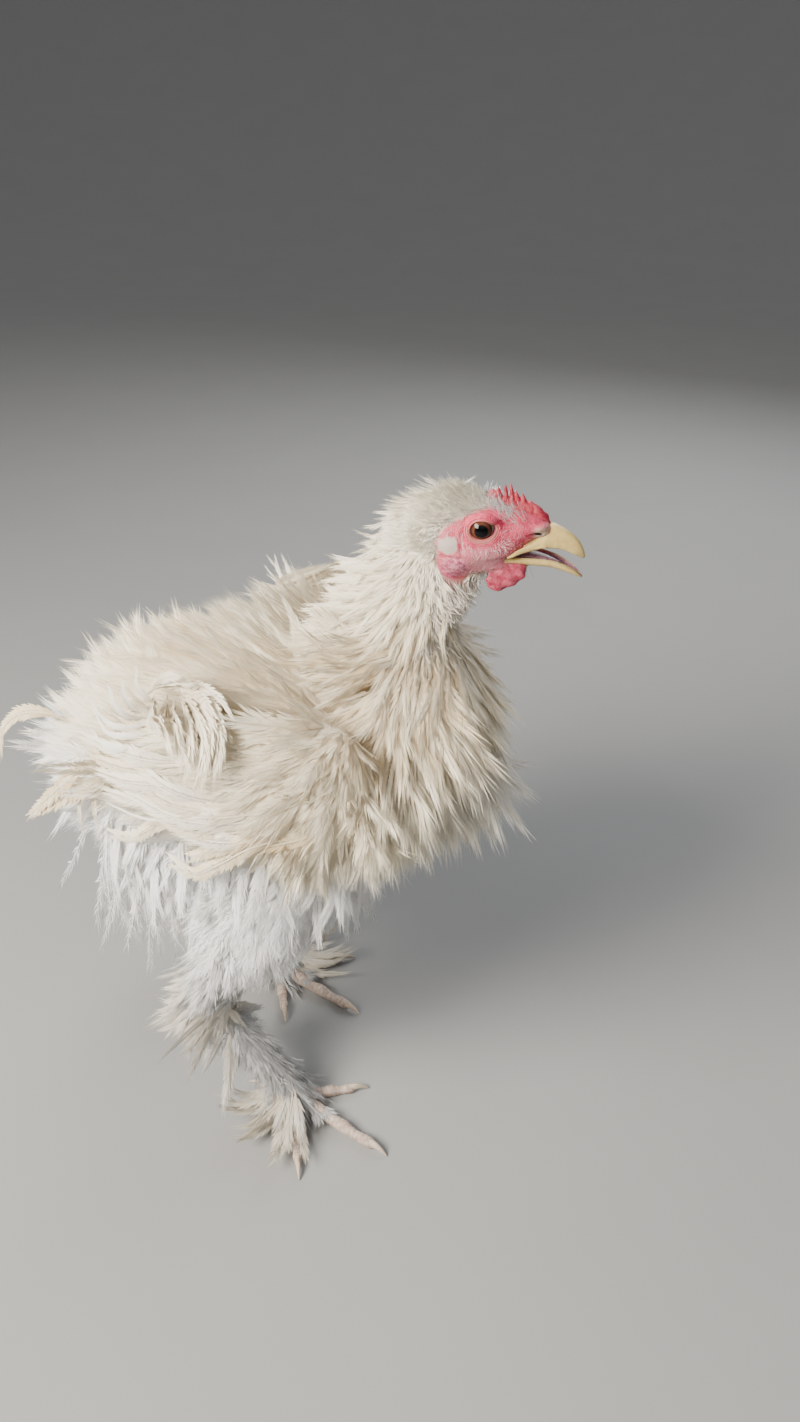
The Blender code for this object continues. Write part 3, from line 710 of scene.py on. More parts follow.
wrinkle = skin.math_of("SINE", ring * 34) * 0.3 * skin.step(3 - ring, 0.9, 1.6)
granules = (1 - fine) * (0.75 - 0.55 * skin.step(rim_share, 0.2, 0.8)) * (1 - lobe_share * 0.8)
skin.bump(granules + blotch * 0.6 - seam * scaly * 0.5 + wrinkle, 0.00022)

skin_nodes = ["head", "neck", "trunk", "fluff", "tail", "earlobe_right", "earlobe_left"]
for name in SIDES:
    skin_nodes += [part + name for part in ("wing_", "thigh_", "shank_", "foot_", "foot_feathers_")]
    skin_nodes += [f"toe_{toe}_{name}" for toe in TOES]
shown("skin", skin_mesh, skin, "bare_skin", *skin_nodes)
for name, side in SIDES.items():
    lid_mesh = bpy.data.meshes.new("eyelids_" + name)
    lid_points, lid_faces = lid(side)
    lid_mesh.from_pydata([tuple(p) for p in lid_points], [], lid_faces)
    lid_mesh.shade_smooth()
    keep_number(lid_mesh, "bare", np.ones(len(lid_points)))
    keep_number(lid_mesh, "lobe", np.zeros(len(lid_points)))
    keep_number(lid_mesh, "rim", np.linspace(1.3, 0.0, len(lid_points)))
    keep_number(lid_mesh, "ring", np.linspace(0.9, 1.6, len(lid_points)))
    for absent in ("low_lobe", "cheek", "stain", "cool"):
        keep_number(lid_mesh, absent, np.zeros(len(lid_points)))
    shown("eyelids_" + name, lid_mesh, skin, "bare_skin")


# ================================================================== the eyes
# Wet and round, each set in the side of the head: a black pupil in an orange brown iris, and at the front
# corner a little of the pale third lid. Only the part between the lids shows.

PUPIL_SCALE = 0.0052

eye = Finish("eye", Roughness=0.04, Specular_IOR_Level=0.22)
optic = eye.attribute("from_pupil")
streaks = eye.noise(1800, 2)
rings = {"stops": [
    (0.0, rgb(0.002, 0.002, 0.003)), (0.49, rgb(0.002, 0.002, 0.003)), (0.52, rgb(0.045, 0.015, 0.008)),
    (0.60, rgb(0.105, 0.038, 0.018)), (0.71, rgb(0.095, 0.032, 0.016)), (0.80, rgb(0.050, 0.015, 0.010)),
    (0.86, rgb(0.015, 0.007, 0.006)), (0.92, rgb(0.13, 0.10, 0.09)), (1.0, rgb(0.24, 0.20, 0.19)),
]}
eye.colour(eye.node("ShaderNodeValToRGB", rings, {"Fac": optic + (streaks - 0.5) * 0.05}))


def eyeball(side):
    """A ball with a slight bulge over the pupil, which looks out to the side."""
    shape = bmesh.new()
    bmesh.ops.create_uvsphere(shape, u_segments=64, v_segments=48, radius=EYE_RADIUS)
    mesh = bpy.data.meshes.new("eye")
    shape.to_mesh(mesh)
    shape.free()
    mesh.shade_smooth()
    balls = points_of(mesh)
    gaze = unit(np.array([0.05, side, 0.0]))
    off_axis = np.arccos(np.clip(unit(balls) @ gaze, -1, 1))
    keep_number(mesh, "from_pupil", off_axis * EYE_RADIUS / PUPIL_SCALE)
    bulge = 0.00035 * (1 - ramp(off_axis, 0.2, 0.75))
    balls += gaze * bulge[:, None] + np.array([EYE_AT[0], side * EYE_AT[1], EYE_AT[2]])
    set_points(mesh, placed(balls, HEAD_FRAME))
    return mesh


for name, side in SIDES.items():
    shown("eyeball_" + name, eyeball(side), eye, "eye", "eye_" + name)


# ================================================================== the bill and the mouth
# Two horn sheaths, yellow outside and paler at the edges. The upper one is arched and hooked, and its edge
# runs back to the corner of the mouth. The lower one is a trough that holds the tongue, and the mouth inside
# is moist.

horn = Finish("bill_horn", Specular_IOR_Level=0.5, Subsurface_Weight=0.08, Subsurface_Scale=0.003)
grain = horn.noise(500, 4)
length_share = horn.attribute("along")
horn_tone = horn.blend(rgb(0.69, 0.46, 0.14), rgb(0.80, 0.60, 0.23), horn.step(grain, 0.3, 0.7))
horn_tone = horn.blend(horn_tone, rgb(0.76, 0.58, 0.24), length_share * 0.6)
horn_tone = horn.blend(horn_tone, rgb(0.42, 0.27, 0.13), horn.step(length_share, 0.84, 1.0) * 0.5)
horn.colour(horn.blend(horn_tone, rgb(0.45, 0.28, 0.14), horn.step(horn.noise(2200, 2), 0.62, 0.8) * 0.35))
horn.roughness(0.34 + 0.2 * grain)
horn.bump(grain, 0.00012)

mouth = Finish(
    "mouth_lining", Roughness=0.42, Subsurface_Weight=0.15, Subsurface_Scale=0.002, Coat_Weight=0.12,
)
mouth_patches = mouth.step(mouth.noise(700, 3), 0.35, 0.65)
mouth.colour(mouth.blend(rgb(0.26, 0.11, 0.15), rgb(0.47, 0.26, 0.30), mouth_patches))
mouth.bump(mouth.noise(1200, 3), 0.0002)

UPPER_BILL = [
    (0.0170, 0, -0.0086, 0.0088, 0.0016), (0.0215, 0, -0.0076, 0.0076, 0.0024),
    (0.0262, 0, -0.0060, 0.0060, 0.0046), (0.0310, 0, -0.0070, 0.0047, 0.0041),
    (0.0350, 0, -0.0090, 0.0036, 0.0034), (0.0382, 0, -0.0116, 0.0026, 0.0025),
    (0.0403, 0, -0.0138, 0.0014, 0.0014), (0.0414, 0, -0.0152, 0.0006, 0.0006),
]


def upper_section(turn):
    """High over the ridge, straight down the sides, and hollow below."""
    c, s = np.cos(turn), np.sin(turn)
    across = np.where(s >= 0, np.sign(c) * np.abs(c) ** 0.80, c * 0.94)
    up = np.where(s >= 0, np.abs(s) ** 1.05, s * -0.10) - 0.80 * np.abs(c) ** 3
    return across, up


def head_mesh(name, shapes):
    """One mesh from shapes that are given from the point between the eyes."""
    return mesh_of(name, [(placed(points, HEAD_FRAME), faces) for points, faces in shapes])


def bill_mesh(name, path, section, inner, rings=48, segments=48):
    """A bill whose inner faces take the second material, with each point's share of the way to the tip."""
    mesh = head_mesh(name, [tube(path, rings=rings, segments=segments, section=section)])
    share = np.concatenate([np.repeat(np.linspace(0, 1, rings), segments), [0, 1]])
    keep_number(mesh, "along", share)
    for polygon in mesh.polygons:
        segment = [i % segments for i in polygon.vertices if i < rings * segments]
        polygon.material_index = int(all(inner(2 * math.pi * i / segments) for i in segment))
    return mesh


upper = bill_mesh("upper_bill", UPPER_BILL, upper_section, lambda turn: math.sin(turn) < -0.25)
shown("upper_bill_horn", upper, [horn, mouth], "horn", "upper_bill")

LOWER_BILL = [
    (0.0100, 0, -0.0146, 0.0086, 0.0024), (0.0150, 0, -0.0148, 0.0079, 0.0026),
    (0.0220, 0, -0.0156, 0.0064, 0.0027), (0.0290, 0, -0.0168, 0.0048, 0.0025),
    (0.0350, 0, -0.0192, 0.0034, 0.0021), (0.0392, 0, -0.0217, 0.0019, 0.0014),
    (0.0412, 0, -0.0234, 0.0008, 0.0006),
]


def lower_section(turn):
    """A keel below and a hollow above, between two thin edges."""
    c, s = np.cos(turn), np.sin(turn)
    return c, np.where(s <= 0, -np.abs(s) ** 0.85, 0.62 * np.abs(c) ** 6 - 0.45 * s)


lower = bill_mesh("lower_bill", LOWER_BILL, lower_section, lambda turn: math.sin(turn) > 0.2)
shown("lower_bill_horn", lower, [horn, mouth], "horn", "lower_bill")

TONGUE = [
    (0.0110, 0, -0.0142, 0.0036, 0.0012), (0.0170, 0, -0.0144, 0.0040, 0.0014),
    (0.0230, 0, -0.0152, 0.0032, 0.0012), (0.0280, 0, -0.0164, 0.0020, 0.0009),
    (0.0318, 0, -0.0178, 0.0008, 0.0005),
]
tongue_mesh = head_mesh("tongue", [tube(TONGUE, rings=32, segments=28)])
shown("tongue_flesh", tongue_mesh, mouth, "tongue", "tongue")


def gape(side):
    """The horn edge of the upper bill where it runs back to the corner of the mouth."""
    path = [
        (0.0110, side * 0.0104, -0.0123, 0.0004, 0.0004), (0.0128, side * 0.0101, -0.0115, 0.0006, 0.0007),
        (0.0150, side * 0.0093, -0.0104, 0.0006, 0.0010), (0.0180, side * 0.0081, -0.0095, 0.0006, 0.0012),
        (0.0215, side * 0.0069, -0.0088, 0.0006, 0.0014), (0.0250, side * 0.0057, -0.0084, 0.0005, 0.0012),
    ]
    return tube(path, rings=32, segments=16)


gape_mesh = head_mesh("gape", [gape(side) for side in SIDES.values()])
keep_number(gape_mesh, "along", np.full(len(gape_mesh.vertices), 0.6))
shown("gape_horn", gape_mesh, horn, "horn")


# ================================================================== comb and wattles
# Firm coral red flesh with a grainy surface. The comb is one thin upright blade, cut into thin points at the
# back; the two wattles are small soft folds behind the chin.

comb = Finish("comb_flesh", Subsurface_Weight=0.25, Subsurface_Scale=0.004, Specular_IOR_Level=0.4)
comb.shader.inputs["Subsurface Radius"].default_value = (1.0, 0.25, 0.2)
pimples, patches = comb.grains(2400), comb.noise(350, 3)
comb_red = comb.blend(rgb(0.33, 0.020, 0.045), rgb(0.47, 0.060, 0.082), comb.step(patches, 0.35, 0.65))
comb.colour(comb.blend(comb_red, rgb(0.68, 0.27, 0.26), (1 - comb.step(pimples, 0.08, 0.40)) * 0.40))
comb.roughness(0.40 + 0.25 * patches)
folds = comb.node("ShaderNodeTexWave", {"wave_type": "BANDS", "bands_direction": "DIAGONAL"}, {
    "Vector": comb.place(), "Scale": 95, "Distortion": 5, "Detail": 2, "Detail Scale": 2,
}, out="Fac")
comb.bump((1 - pimples) * 0.35 + folds, 0.00030)

COMB_CELL = 0.00028
# Each point of the comb: its root forward, its tip forward and up, and half its width.
COMB_POINTS = [
    (0.0046, 0.0040, 0.0118, 0.0023), (0.0070, 0.0063, 0.0125, 0.0012), (0.0098, 0.0089, 0.0137, 0.0008),
    (0.0121, 0.0110, 0.0141, 0.0008), (0.0145, 0.0132, 0.0112, 0.0010), (0.0172, 0.0158, 0.0102, 0.0011),
    (0.0198, 0.0188, 0.0075, 0.0020), (0.0220, 0.0210, 0.0051, 0.0022), (0.0240, 0.0232, 0.0026, 0.0020),
]


def comb_mesh():
    """A ridge that follows the forehead, with the points growing out of it, made one by a remesh."""
    ridge = [
        (0.0030, 0, 0.0078, 0.0010, 0.0022), (0.0080, 0, 0.0062, 0.0015, 0.0028),
        (0.0140, 0, 0.0044, 0.0018, 0.0034), (0.0200, 0, 0.0020, 0.0020, 0.0042),
        (0.0245, 0, -0.0010, 0.0018, 0.0026), (0.0276, 0, -0.0034, 0.0009, 0.0010),
    ]
    shapes = [tube(ridge, rings=24, segments=20)]
    for root, tip, height, half in COMB_POINTS:
        base = 0.0075 - (root / 0.0282) ** 2 * 0.0095
        path = [
            (root, 0, base - 0.0015, 0.0014, half * 1.25),
            (root * 0.6 + tip * 0.4, 0, base + (height - base) * 0.45, 0.0011, half),
            (tip, 0, height - 0.0008, 0.0007, half * 0.55),
            (tip, 0, height, 0.0004, half * 0.25),
        ]
        shapes.append(tube(path, rings=14, segments=16))
    mesh = modified(head_mesh("comb", shapes), "REMESH", mode="VOXEL", voxel_size=COMB_CELL)
    mesh = modified(mesh, "SMOOTH", factor=0.5, iterations=5)
    mesh.shade_smooth()
    return mesh


shown("comb_blade", comb_mesh(), comb, "comb", "comb")


def wattle_mesh(name, side):
    """A small leaf of flesh that hangs from the jaw, with a wavy edge and two soft creases."""
    path = [
        (0.0122, side * 0.0070, -0.0160, 0.0014, 0.0056), (0.0116, side * 0.0076, -0.0190, 0.0016, 0.0072),
        (0.0098, side * 0.0078, -0.0232, 0.0014, 0.0066), (0.0080, side * 0.0074, -0.0262, 0.0011, 0.0040),
        (0.0074, side * 0.0072, -0.0278, 0.0006, 0.0014),
    ]
    points, faces = tube(path, rings=36, segments=40, level=True)
    points[:, 1] += side * 0.0004 * np.sin(points[:, 0] * 900 + points[:, 2] * 700)
    points[:, 0] += 0.00025 * np.sin(points[:, 2] * 1700)
    return head_mesh(name, [(points, faces)])


wattle = Finish(
    "wattle_flesh", Subsurface_Weight=0.20, Subsurface_Scale=0.003, Specular_IOR_Level=0.4, Roughness=0.5,
)
wattle_patches = wattle.step(wattle.noise(420, 4), 0.38, 0.64)
wattle_flecks = wattle.step(wattle.noise(1700, 2), 0.55, 0.75)
wattle_red = wattle.blend(rgb(0.34, 0.025, 0.060), rgb(0.52, 0.100, 0.140), wattle_patches)
wattle.colour(wattle.blend(wattle_red, rgb(0.66, 0.28, 0.29), wattle_flecks * 0.4))
wattle.bump(wattle.noise(900, 3), 0.00030)
for name, side in SIDES.items():
    shown("wattle_flesh_" + name, wattle_mesh("wattle", side), wattle, "comb", "wattle_" + name)


# ================================================================== the claws
# One claw of curved horn at the end of each toe, a hard sheath held by the scaly skin round its root. It is
# worn blunt at the tip and dull with soil.

nail = Finish("claw_horn", Specular_IOR_Level=0.4)
nail_grain = nail.noise(900, 4)
nail_soil = nail.step(nail.noise(250), 0.55, 0.75)
nail_tone = nail.blend(rgb(0.50, 0.38, 0.28), rgb(0.66, 0.55, 0.43), nail.step(nail_grain, 0.3, 0.7))
nail.colour(nail.blend(nail_tone, rgb(0.20, 0.14, 0.10), nail_soil * 0.5))
nail.roughness(0.45 + 0.2 * nail_grain)
nail.bump(nail_grain, 0.0002)
CLAW_LENGTH = 0.011
# Along each claw: the share of its length, its thickness against the root, and the height of its middle.
CLAW_ROWS = [
    (0, 1.0, 0.0031), (0.25, 0.92, 0.0036), (0.5, 0.70, 0.0033), (0.8, 0.38, 0.0019), (1, 0.12, 0.0005),
]

for name, side in SIDES.items():
    for kind, toe in TOES.items():
        start, heading, square = toe_line(side, STANCE[name], toe)
        root = start + heading * (toe["length"] - 0.0022)
        path = []
        for share, size, rise in CLAW_ROWS:
            at = root + heading * CLAW_LENGTH * share
            path.append((at[0], at[1], rise, toe["radius"] * 0.52 * size, toe["radius"] * 0.66 * size))
        points, faces = tube(path, across=square, rings=20, segments=16)
        points[:, 2] = np.maximum(points[:, 2], 0)
        claw = mesh_of("claw", [(points + STAND_AT, faces)])
        shown(f"claw_horn_{kind}_{name}", claw, nail, "claw", f"claw_{kind}_{name}")


# ================================================================== the coat: a feather, and where it grows
# Every feather is a shaft with a vane of separate barbs on both sides. It grows from the skin, rises off it
# and, on this bird, curls back up towards the tip. Barbs are loose, so that each vane's edges are frayed.

skin_mesh.calc_loop_triangles()
skin_points, skin_normals = points_of(skin_mesh), points_of(skin_mesh, "normal")
corner_points = np.empty(len(skin_mesh.loop_triangles) * 3, np.int32)
corner_loops = corner_points.copy()
skin_mesh.loop_triangles.foreach_get("vertices", corner_points)
skin_mesh.loop_triangles.foreach_get("loops", corner_loops)
skin_uv = np.empty(len(skin_mesh.loops) * 2, np.float32)
skin_mesh.uv_layers["OFBake"].uv.foreach_get("vector", skin_uv)
corners = skin_points[corner_points].reshape(-1, 3, 3)
corner_normals = skin_normals[corner_points].reshape(-1, 3, 3)
corner_uv = skin_uv.reshape(-1, 2)[corner_loops].reshape(-1, 3, 2)
one_edge, other_edge = corners[:, 1] - corners[:, 0], corners[:, 2] - corners[:, 0]
triangle_area = np.linalg.norm(np.cross(one_edge, other_edge), axis=1) / 2
triangle_middle = corners.mean(axis=1) - STAND_AT
skin_tree = BVHTree.FromPolygons(skin_points.tolist(), corner_points.reshape(-1, 3).tolist())

PATCH = 0.003
LOWEST_ROOT = 0.012
PART_NAMES = ["head", *BODY_PARTS]
BLOCKS = 24


def part_of(places):
    """Which body part each place on the skin belongs to: the one whose axis is nearest for its thickness."""
    paths = [placed(np.array(HEAD)[:, :3], HEAD_FRAME) - STAND_AT]
    sizes = [np.array(HEAD)[:, 3:].mean(axis=1)]
    for path in BODY_PARTS.values():
        rows = smooth_rows(path, 40)
        paths.append(rows[:, :3])
        sizes.append(rows[:, 3:].mean(axis=1))
    near = []
    for path, size in zip(paths, sizes):
        away = np.linalg.norm(places[:, None] - path[None], axis=2) / size[None]
        near.append(away.min(axis=1))
    return np.argmin(np.array(near), axis=0)


triangle_part = np.concatenate([part_of(block) for block in np.array_split(triangle_middle, BLOCKS)])
triangle_bare = face_zone(corners.mean(axis=1)) < 1


def sown(rng, count, parts, weight=None, bare=False):
    """Roots spread evenly over body parts, or the bare face: places, normals and places on the map."""
    wanted = np.isin(triangle_part, [PART_NAMES.index(part) for part in parts])
    wanted &= triangle_middle[:, 2] > LOWEST_ROOT
    share = triangle_area * wanted * (1 if weight is None else np.clip(weight(triangle_middle), 0, None))
    share = np.cumsum(share * (triangle_bare if bare else ~triangle_bare))
    chosen = np.searchsorted(share, (np.arange(count) + rng.random(count)) / count * share[-1])
    chosen = np.minimum(chosen, len(share) - 1)
    a, b = rng.random(count), rng.random(count)
    a, b = np.where(a + b > 1, 1 - a, a), np.where(a + b > 1, 1 - b, b)
    mix = np.stack([1 - a - b, a, b], axis=1)[..., None]
    places = (corners[chosen] * mix).sum(axis=1) - STAND_AT
    return places, unit((corner_normals[chosen] * mix).sum(axis=1)), (corner_uv[chosen] * mix).sum(axis=1)


def planted(places):
    """Roots at the skin nearest to some places."""
    found = [skin_tree.find_nearest(Vector(place) + STAND) for place in places]
    on = np.array([hit[2] for hit in found])
    spots = np.array([hit[0] for hit in found]) - STAND_AT
    return spots, unit(corner_normals[on].mean(axis=1)), corner_uv[on].mean(axis=1)


def stops(barbs):
    """Where along a shaft its barbs part, after a short bare quill."""
    return np.concatenate([[0], np.linspace(0.14, 1, barbs + 1)])


def risen(roots, lie, length, lift, curl, sway, barbs):
    """Shafts that leave the skin at the lift angle along the lie, and turn up by curl and aside by sway."""
    places, normals, _ = roots
    full = lambda value: np.broadcast_to(np.asarray(value, float), (len(places),))[:, None]
    length, lift, curl, sway = map(full, (length, lift, curl, sway))
    lie = unit(lie - normals * (lie * normals).sum(axis=1, keepdims=True))
    side = np.cross(normals, lie)
    t = stops(barbs)
    angle, aside = lift + curl * t**1.5, sway * t
    ahead = (
        (np.cos(angle) * np.cos(aside))[..., None] * lie[:, None]
        + (np.sin(angle) * np.cos(aside))[..., None] * normals[:, None]
        + np.sin(aside)[..., None] * side[:, None]
    )
    strides = (ahead[:, 1:] + ahead[:, :-1]) / 2 * (np.diff(t) * length)[..., None]
    run = np.concatenate([np.zeros((len(places), 1, 3)), np.cumsum(strides, axis=1)], axis=1)
    return places[:, None] + run, ahead, side[:, None]


def framed(spine, out):
    """Shafts along given lines, with the vane's face turned outwards."""
    ahead = unit(np.gradient(spine, axis=1))
    return spine, ahead, unit(np.cross(out[:, None], ahead))


def grow(rng, roots, shafts, half, barbs=16, ragged=0.14, loose=0.06, fat=2.6, point=0.7, cup=0.20,
         sweep=2.0, quill=0.0, warm=0.0, cool=0.0):
    """Feathers of one kind, one for each root, each with so many barbs a side of its shaft.

    half is half the vane's width, point how far it narrows, cup how far its edges bend down, sweep how far
    barbs lean on, ragged and loose how uneven they are along and off the vane, fat how far each barb fills
    its own share of the vane, quill half the shaft's width, and warm and cool tint the feathers on top of
    what their place gives them. Each point also carries how far along its feather it lies (tip) and how far
    across its barb (ply), and a number of its own for each barb (streak) and each feather (tone).
    """
    places, _, patch = roots
    spine, ahead, side = shafts
    count = len(places)
    half = np.broadcast_to(np.asarray(half, float), (count,))[:, None]
    length = np.linalg.norm(np.diff(spine, axis=1), axis=2).sum(axis=1)[:, None]
    t = stops(barbs)
    up = unit(np.cross(ahead, side))
    beside = np.cross(up, ahead)

    at = (t[1:-1] + t[2:]) / 2
    wide = ramp(at, -0.10, 0.40) * (1 - point * at**2.4)
    fore = sweep * (0.75 + 0.55 * at)
    shape = (count, 2, barbs)
    reach = half[..., None] * wide * (1 + ragged * rng.normal(size=shape)).clip(0.25, 1.7)
    on = half[..., None] * fore * (1 + 0.8 * ragged * rng.normal(size=shape)).clip(0.2, 1.8)
    off = half[..., None] * (loose * rng.normal(size=shape) - cup * wide**2)
    hand = np.array([-1, 1])[None, :, None]
    root = ((spine[:, 1:-1] + spine[:, 2:]) / 2)[:, None] + np.zeros(shape + (3,))
    a, b, c = ((axis[:, 1:-1] + axis[:, 2:])[:, None] / 2 for axis in (ahead, beside, up))

    def out_by(ahead_share, aside_share, off_share):
        """A place on each barb, by its share of the way that the barb goes each way."""
        forward, aside, lift = ahead_share * on, hand * aside_share * reach, off_share * off
        return root + a * forward[..., None] + b * aside[..., None] + c * lift[..., None]

    tip, waist = out_by(1, 1, 1), out_by(0.42, 0.64, 0.36)
    thick = (fat * length[..., None] * 0.43 / barbs * np.ones(shape))[..., None]
    points = np.stack([root, waist + a * thick, tip, waist - a * thick], axis=3)
    first = np.arange(count * 2 * barbs).reshape(shape) * 4
    triangles = first[..., None, None] + np.array([(0, 1, 3), (1, 2, 3)])
    triangles[:, 0] = triangles[:, 0, ..., ::-1]
    level = np.ones(shape + (4,))
    across = level * hand[..., None] * (0, 0.6, 1, 0.6)
    along = level * np.stack([at, t[2:], at * 0.5 + 0.5, t[1:-1]], axis=1)
    ply = level * (0.5, 1, 0.5, 0)
    streak, tone = level * rng.random(shape)[..., None], level * rng.random(count)[:, None, None, None]
    owner = (level * np.arange(count)[:, None, None, None]).astype(int)
    made = [points.reshape(-1, 3), triangles.reshape(-1, 3)]
    made += [x.reshape(-1) for x in (across, along, ply, streak, tone, owner)]

    if quill:
        knots = np.arange(0, barbs + 2, 2)
        thin = quill * (1 - 0.75 * t[knots])[None, :, None]
        line, over = spine[:, knots] + up[:, knots] * quill * 0.5, beside[:, knots] * thin
        shaft = np.stack([line - over, line + over], axis=2)
        strip = np.array([(0, 1, 3), (0, 3, 2)])
        start = np.arange(count)[:, None] * len(knots) * 2 + np.arange(len(knots) - 1) * 2
        extra = np.broadcast_to(np.array([-0.1, 0.1]), shaft.shape[:3])
        run = np.broadcast_to(t[knots][None, :, None], shaft.shape[:3])
        more = [shaft.reshape(-1, 3), (start[..., None, None] + strip).reshape(-1, 3) + len(made[0])]
        more += [x.reshape(-1) for x in (extra, run, 0.5 + 0 * extra, 0.9 + 0 * extra)]
        more += [x.reshape(-1) for x in (np.broadcast_to(rng.random((count, 1, 1)), extra.shape),
                                         np.broadcast_to(np.arange(count)[:, None, None], extra.shape))]
        made = [np.concatenate(pair) for pair in zip(made, more)]

    points, triangles, across, along, ply, streak, tone, owner = made
    uv = patch[owner] + PATCH * np.stack([across / 2, along - 0.5], axis=1)
    tints = np.clip([stained(places) + warm, cooled(places) + cool], 0, 1)
    marks = np.stack([tints[0][owner], tints[1][owner], streak], axis=1)
    return {"points": points + STAND_AT, "triangles": triangles, "uv": uv, "marks": marks, "tip": along,
            "tone": tone, "ply": ply}


feather = Finish("feather", Roughness=0.62, Specular_IOR_Level=0.25, Sheen_Weight=0.10, Sheen_Roughness=0.5)
marks = feather.node("ShaderNodeAttribute", {"attribute_name": "marks"}, out="Vector")
parted = feather.node("ShaderNodeSeparateXYZ", sockets={0: marks})
stain, cool, streak = (Wire(feather, parted.socket.node.outputs[i]) for i in range(3))
tipward, tone = feather.attribute("tip"), feather.attribute("tone")
plume = feather.blend(rgb(0.87, 0.79, 0.62), rgb(0.71, 0.53, 0.28), stain * (0.30 + 1.15 * tone))
plume = feather.blend(plume, rgb(0.88, 0.88, 0.89), cool * (0.70 + 0.3 * tone))
# Darker and browner towards each feather's root, greyer on the white ones: painted shade deep in the coat
# between the feathers.
base = feather.blend(rgb(0.46, 0.31, 0.15), rgb(0.56, 0.55, 0.54), cool)
plume = feather.blend(plume, base, (1 - feather.step(tipward, 0.10, 0.70)) * 0.56)
# Lighter towards each feather's tip: painted highlight. Lighter on some barbs than on others at random: the
# feathers' own streaks.
streak_and_tip_highlight = feather.blend(rgb(0.95, 0.88, 0.72), rgb(0.94, 0.94, 0.93), cool)
plume = feather.blend(plume, streak_and_tip_highlight, tipward * 0.30 + streak * 0.40 - 0.06)
combed = feather.math_of("SINE", feather.attribute("ply") * 19 + streak * 6) * 0.5 + 0.5
plume = feather.blend(plume, rgb(0.60, 0.55, 0.48), (1 - combed) * 0.06)
# Greyer and darker from the belly down to the floor, most on the white feathers: painted shade under the
# body.
height = feather.node("ShaderNodeSeparateXYZ", sockets={0: feather.place()}, out=2)
painted_low_shade = (1 - feather.step(height, 0.020, 0.195)) * (0.42 + 0.48 * cool)
plume = feather.blend(plume, rgb(0.40, 0.39, 0.385), painted_low_shade)
feather.colour(plume)
feather.roughness(0.55 + 0.15 * streak)


COAT_HALF, COAT_GIVE = 0.106, 0.008
OFF_FLOOR = 0.0004


def coat_piece(name, batches, finish=feather):
    """One piece of the coat from batches of feathers. The widest tips bend back to keep the bird's width."""
    offsets = np.cumsum([0] + [len(batch["points"]) for batch in batches[:-1]])
    kinds = [kind for kind in batches[0] if kind != "triangles"]
    joined = {kind: np.concatenate([batch[kind] for batch in batches]) for kind in kinds}
    triangles = np.concatenate([batch["triangles"] + offset for batch, offset in zip(batches, offsets)])
    points = joined["points"]
    points[:, 2] = np.maximum(points[:, 2], OFF_FLOOR)
    beside = points[:, 1] - STAND.y
    over = np.maximum(np.abs(beside) - COAT_HALF, 0)
    points[:, 1] -= np.sign(beside) * (over - COAT_GIVE * np.tanh(over / COAT_GIVE))
    mesh = bpy.data.meshes.new(name)
    mesh.vertices.add(len(points))
    mesh.loops.add(triangles.size)
    mesh.polygons.add(len(triangles))
    mesh.vertices.foreach_set("co", points.astype(np.float32).ravel())
    mesh.loops.foreach_set("vertex_index", triangles.astype(np.int32).ravel())
    mesh.polygons.foreach_set("loop_start", np.arange(0, triangles.size, 3, dtype=np.int32))
    mesh.update(calc_edges=True)
    mesh.shade_smooth()
    uv = joined["uv"][triangles.ravel()].astype(np.float32)
    mesh.uv_layers.new(name="OFBake").uv.foreach_set("vector", uv.ravel())
    marked = mesh.attributes.new("marks", "FLOAT_VECTOR", "POINT")
    marked.data.foreach_set("vector", joined["marks"].astype(np.float32).ravel())
    for kind in ("tip", "tone", "ply"):
        keep_number(mesh, kind, joined[kind])
    shown(name, mesh, finish, "feather")


def single(seed, feathers, jitter=0.0, barbs=16, **look):
    """Feathers set one by one: root, way out, lie, length, half width, and lift, curl, sway in degrees."""
    rng = np.random.default_rng(seed)
    root, out, lie, length, half, lift, curl, sway = (np.array(column, float) for column in zip(*feathers))
    _, _, patch = planted(root)
    way = unit(lie) + jitter * rng.normal(size=lie.shape)
    roots = root, unit(out), patch
    angles = (np.radians(angle) for angle in (lift, curl, sway))
    return grow(rng, roots, risen(roots, way, length, *angles, barbs), half, barbs, **look)


TRACE_STEPS = 240


def traced(seed, paths, out, half, barbs=24, waver=0.0, **look):
    """Single feathers along given paths, root first, with their faces turned out."""
    rng = np.random.default_rng(seed)
    rows = [smooth_rows([(*place, 1) for place in path], TRACE_STEPS + 1) for path in paths]
    lines = np.array(rows)[..., :3]
    lines += waver * rng.normal(size=(len(paths), 1, 3)) * np.linspace(0, 1, TRACE_STEPS + 1)[None, :, None]
    spine = lines[:, np.round(stops(barbs) * TRACE_STEPS).astype(int)]
    _, normals, patch = planted(spine[:, 0])
    facing = unit(np.tile(np.array(out, float), (len(paths), 1)))
    return grow(rng, (spine[:, 0], normals, patch), framed(spine, facing), half, barbs, **look)


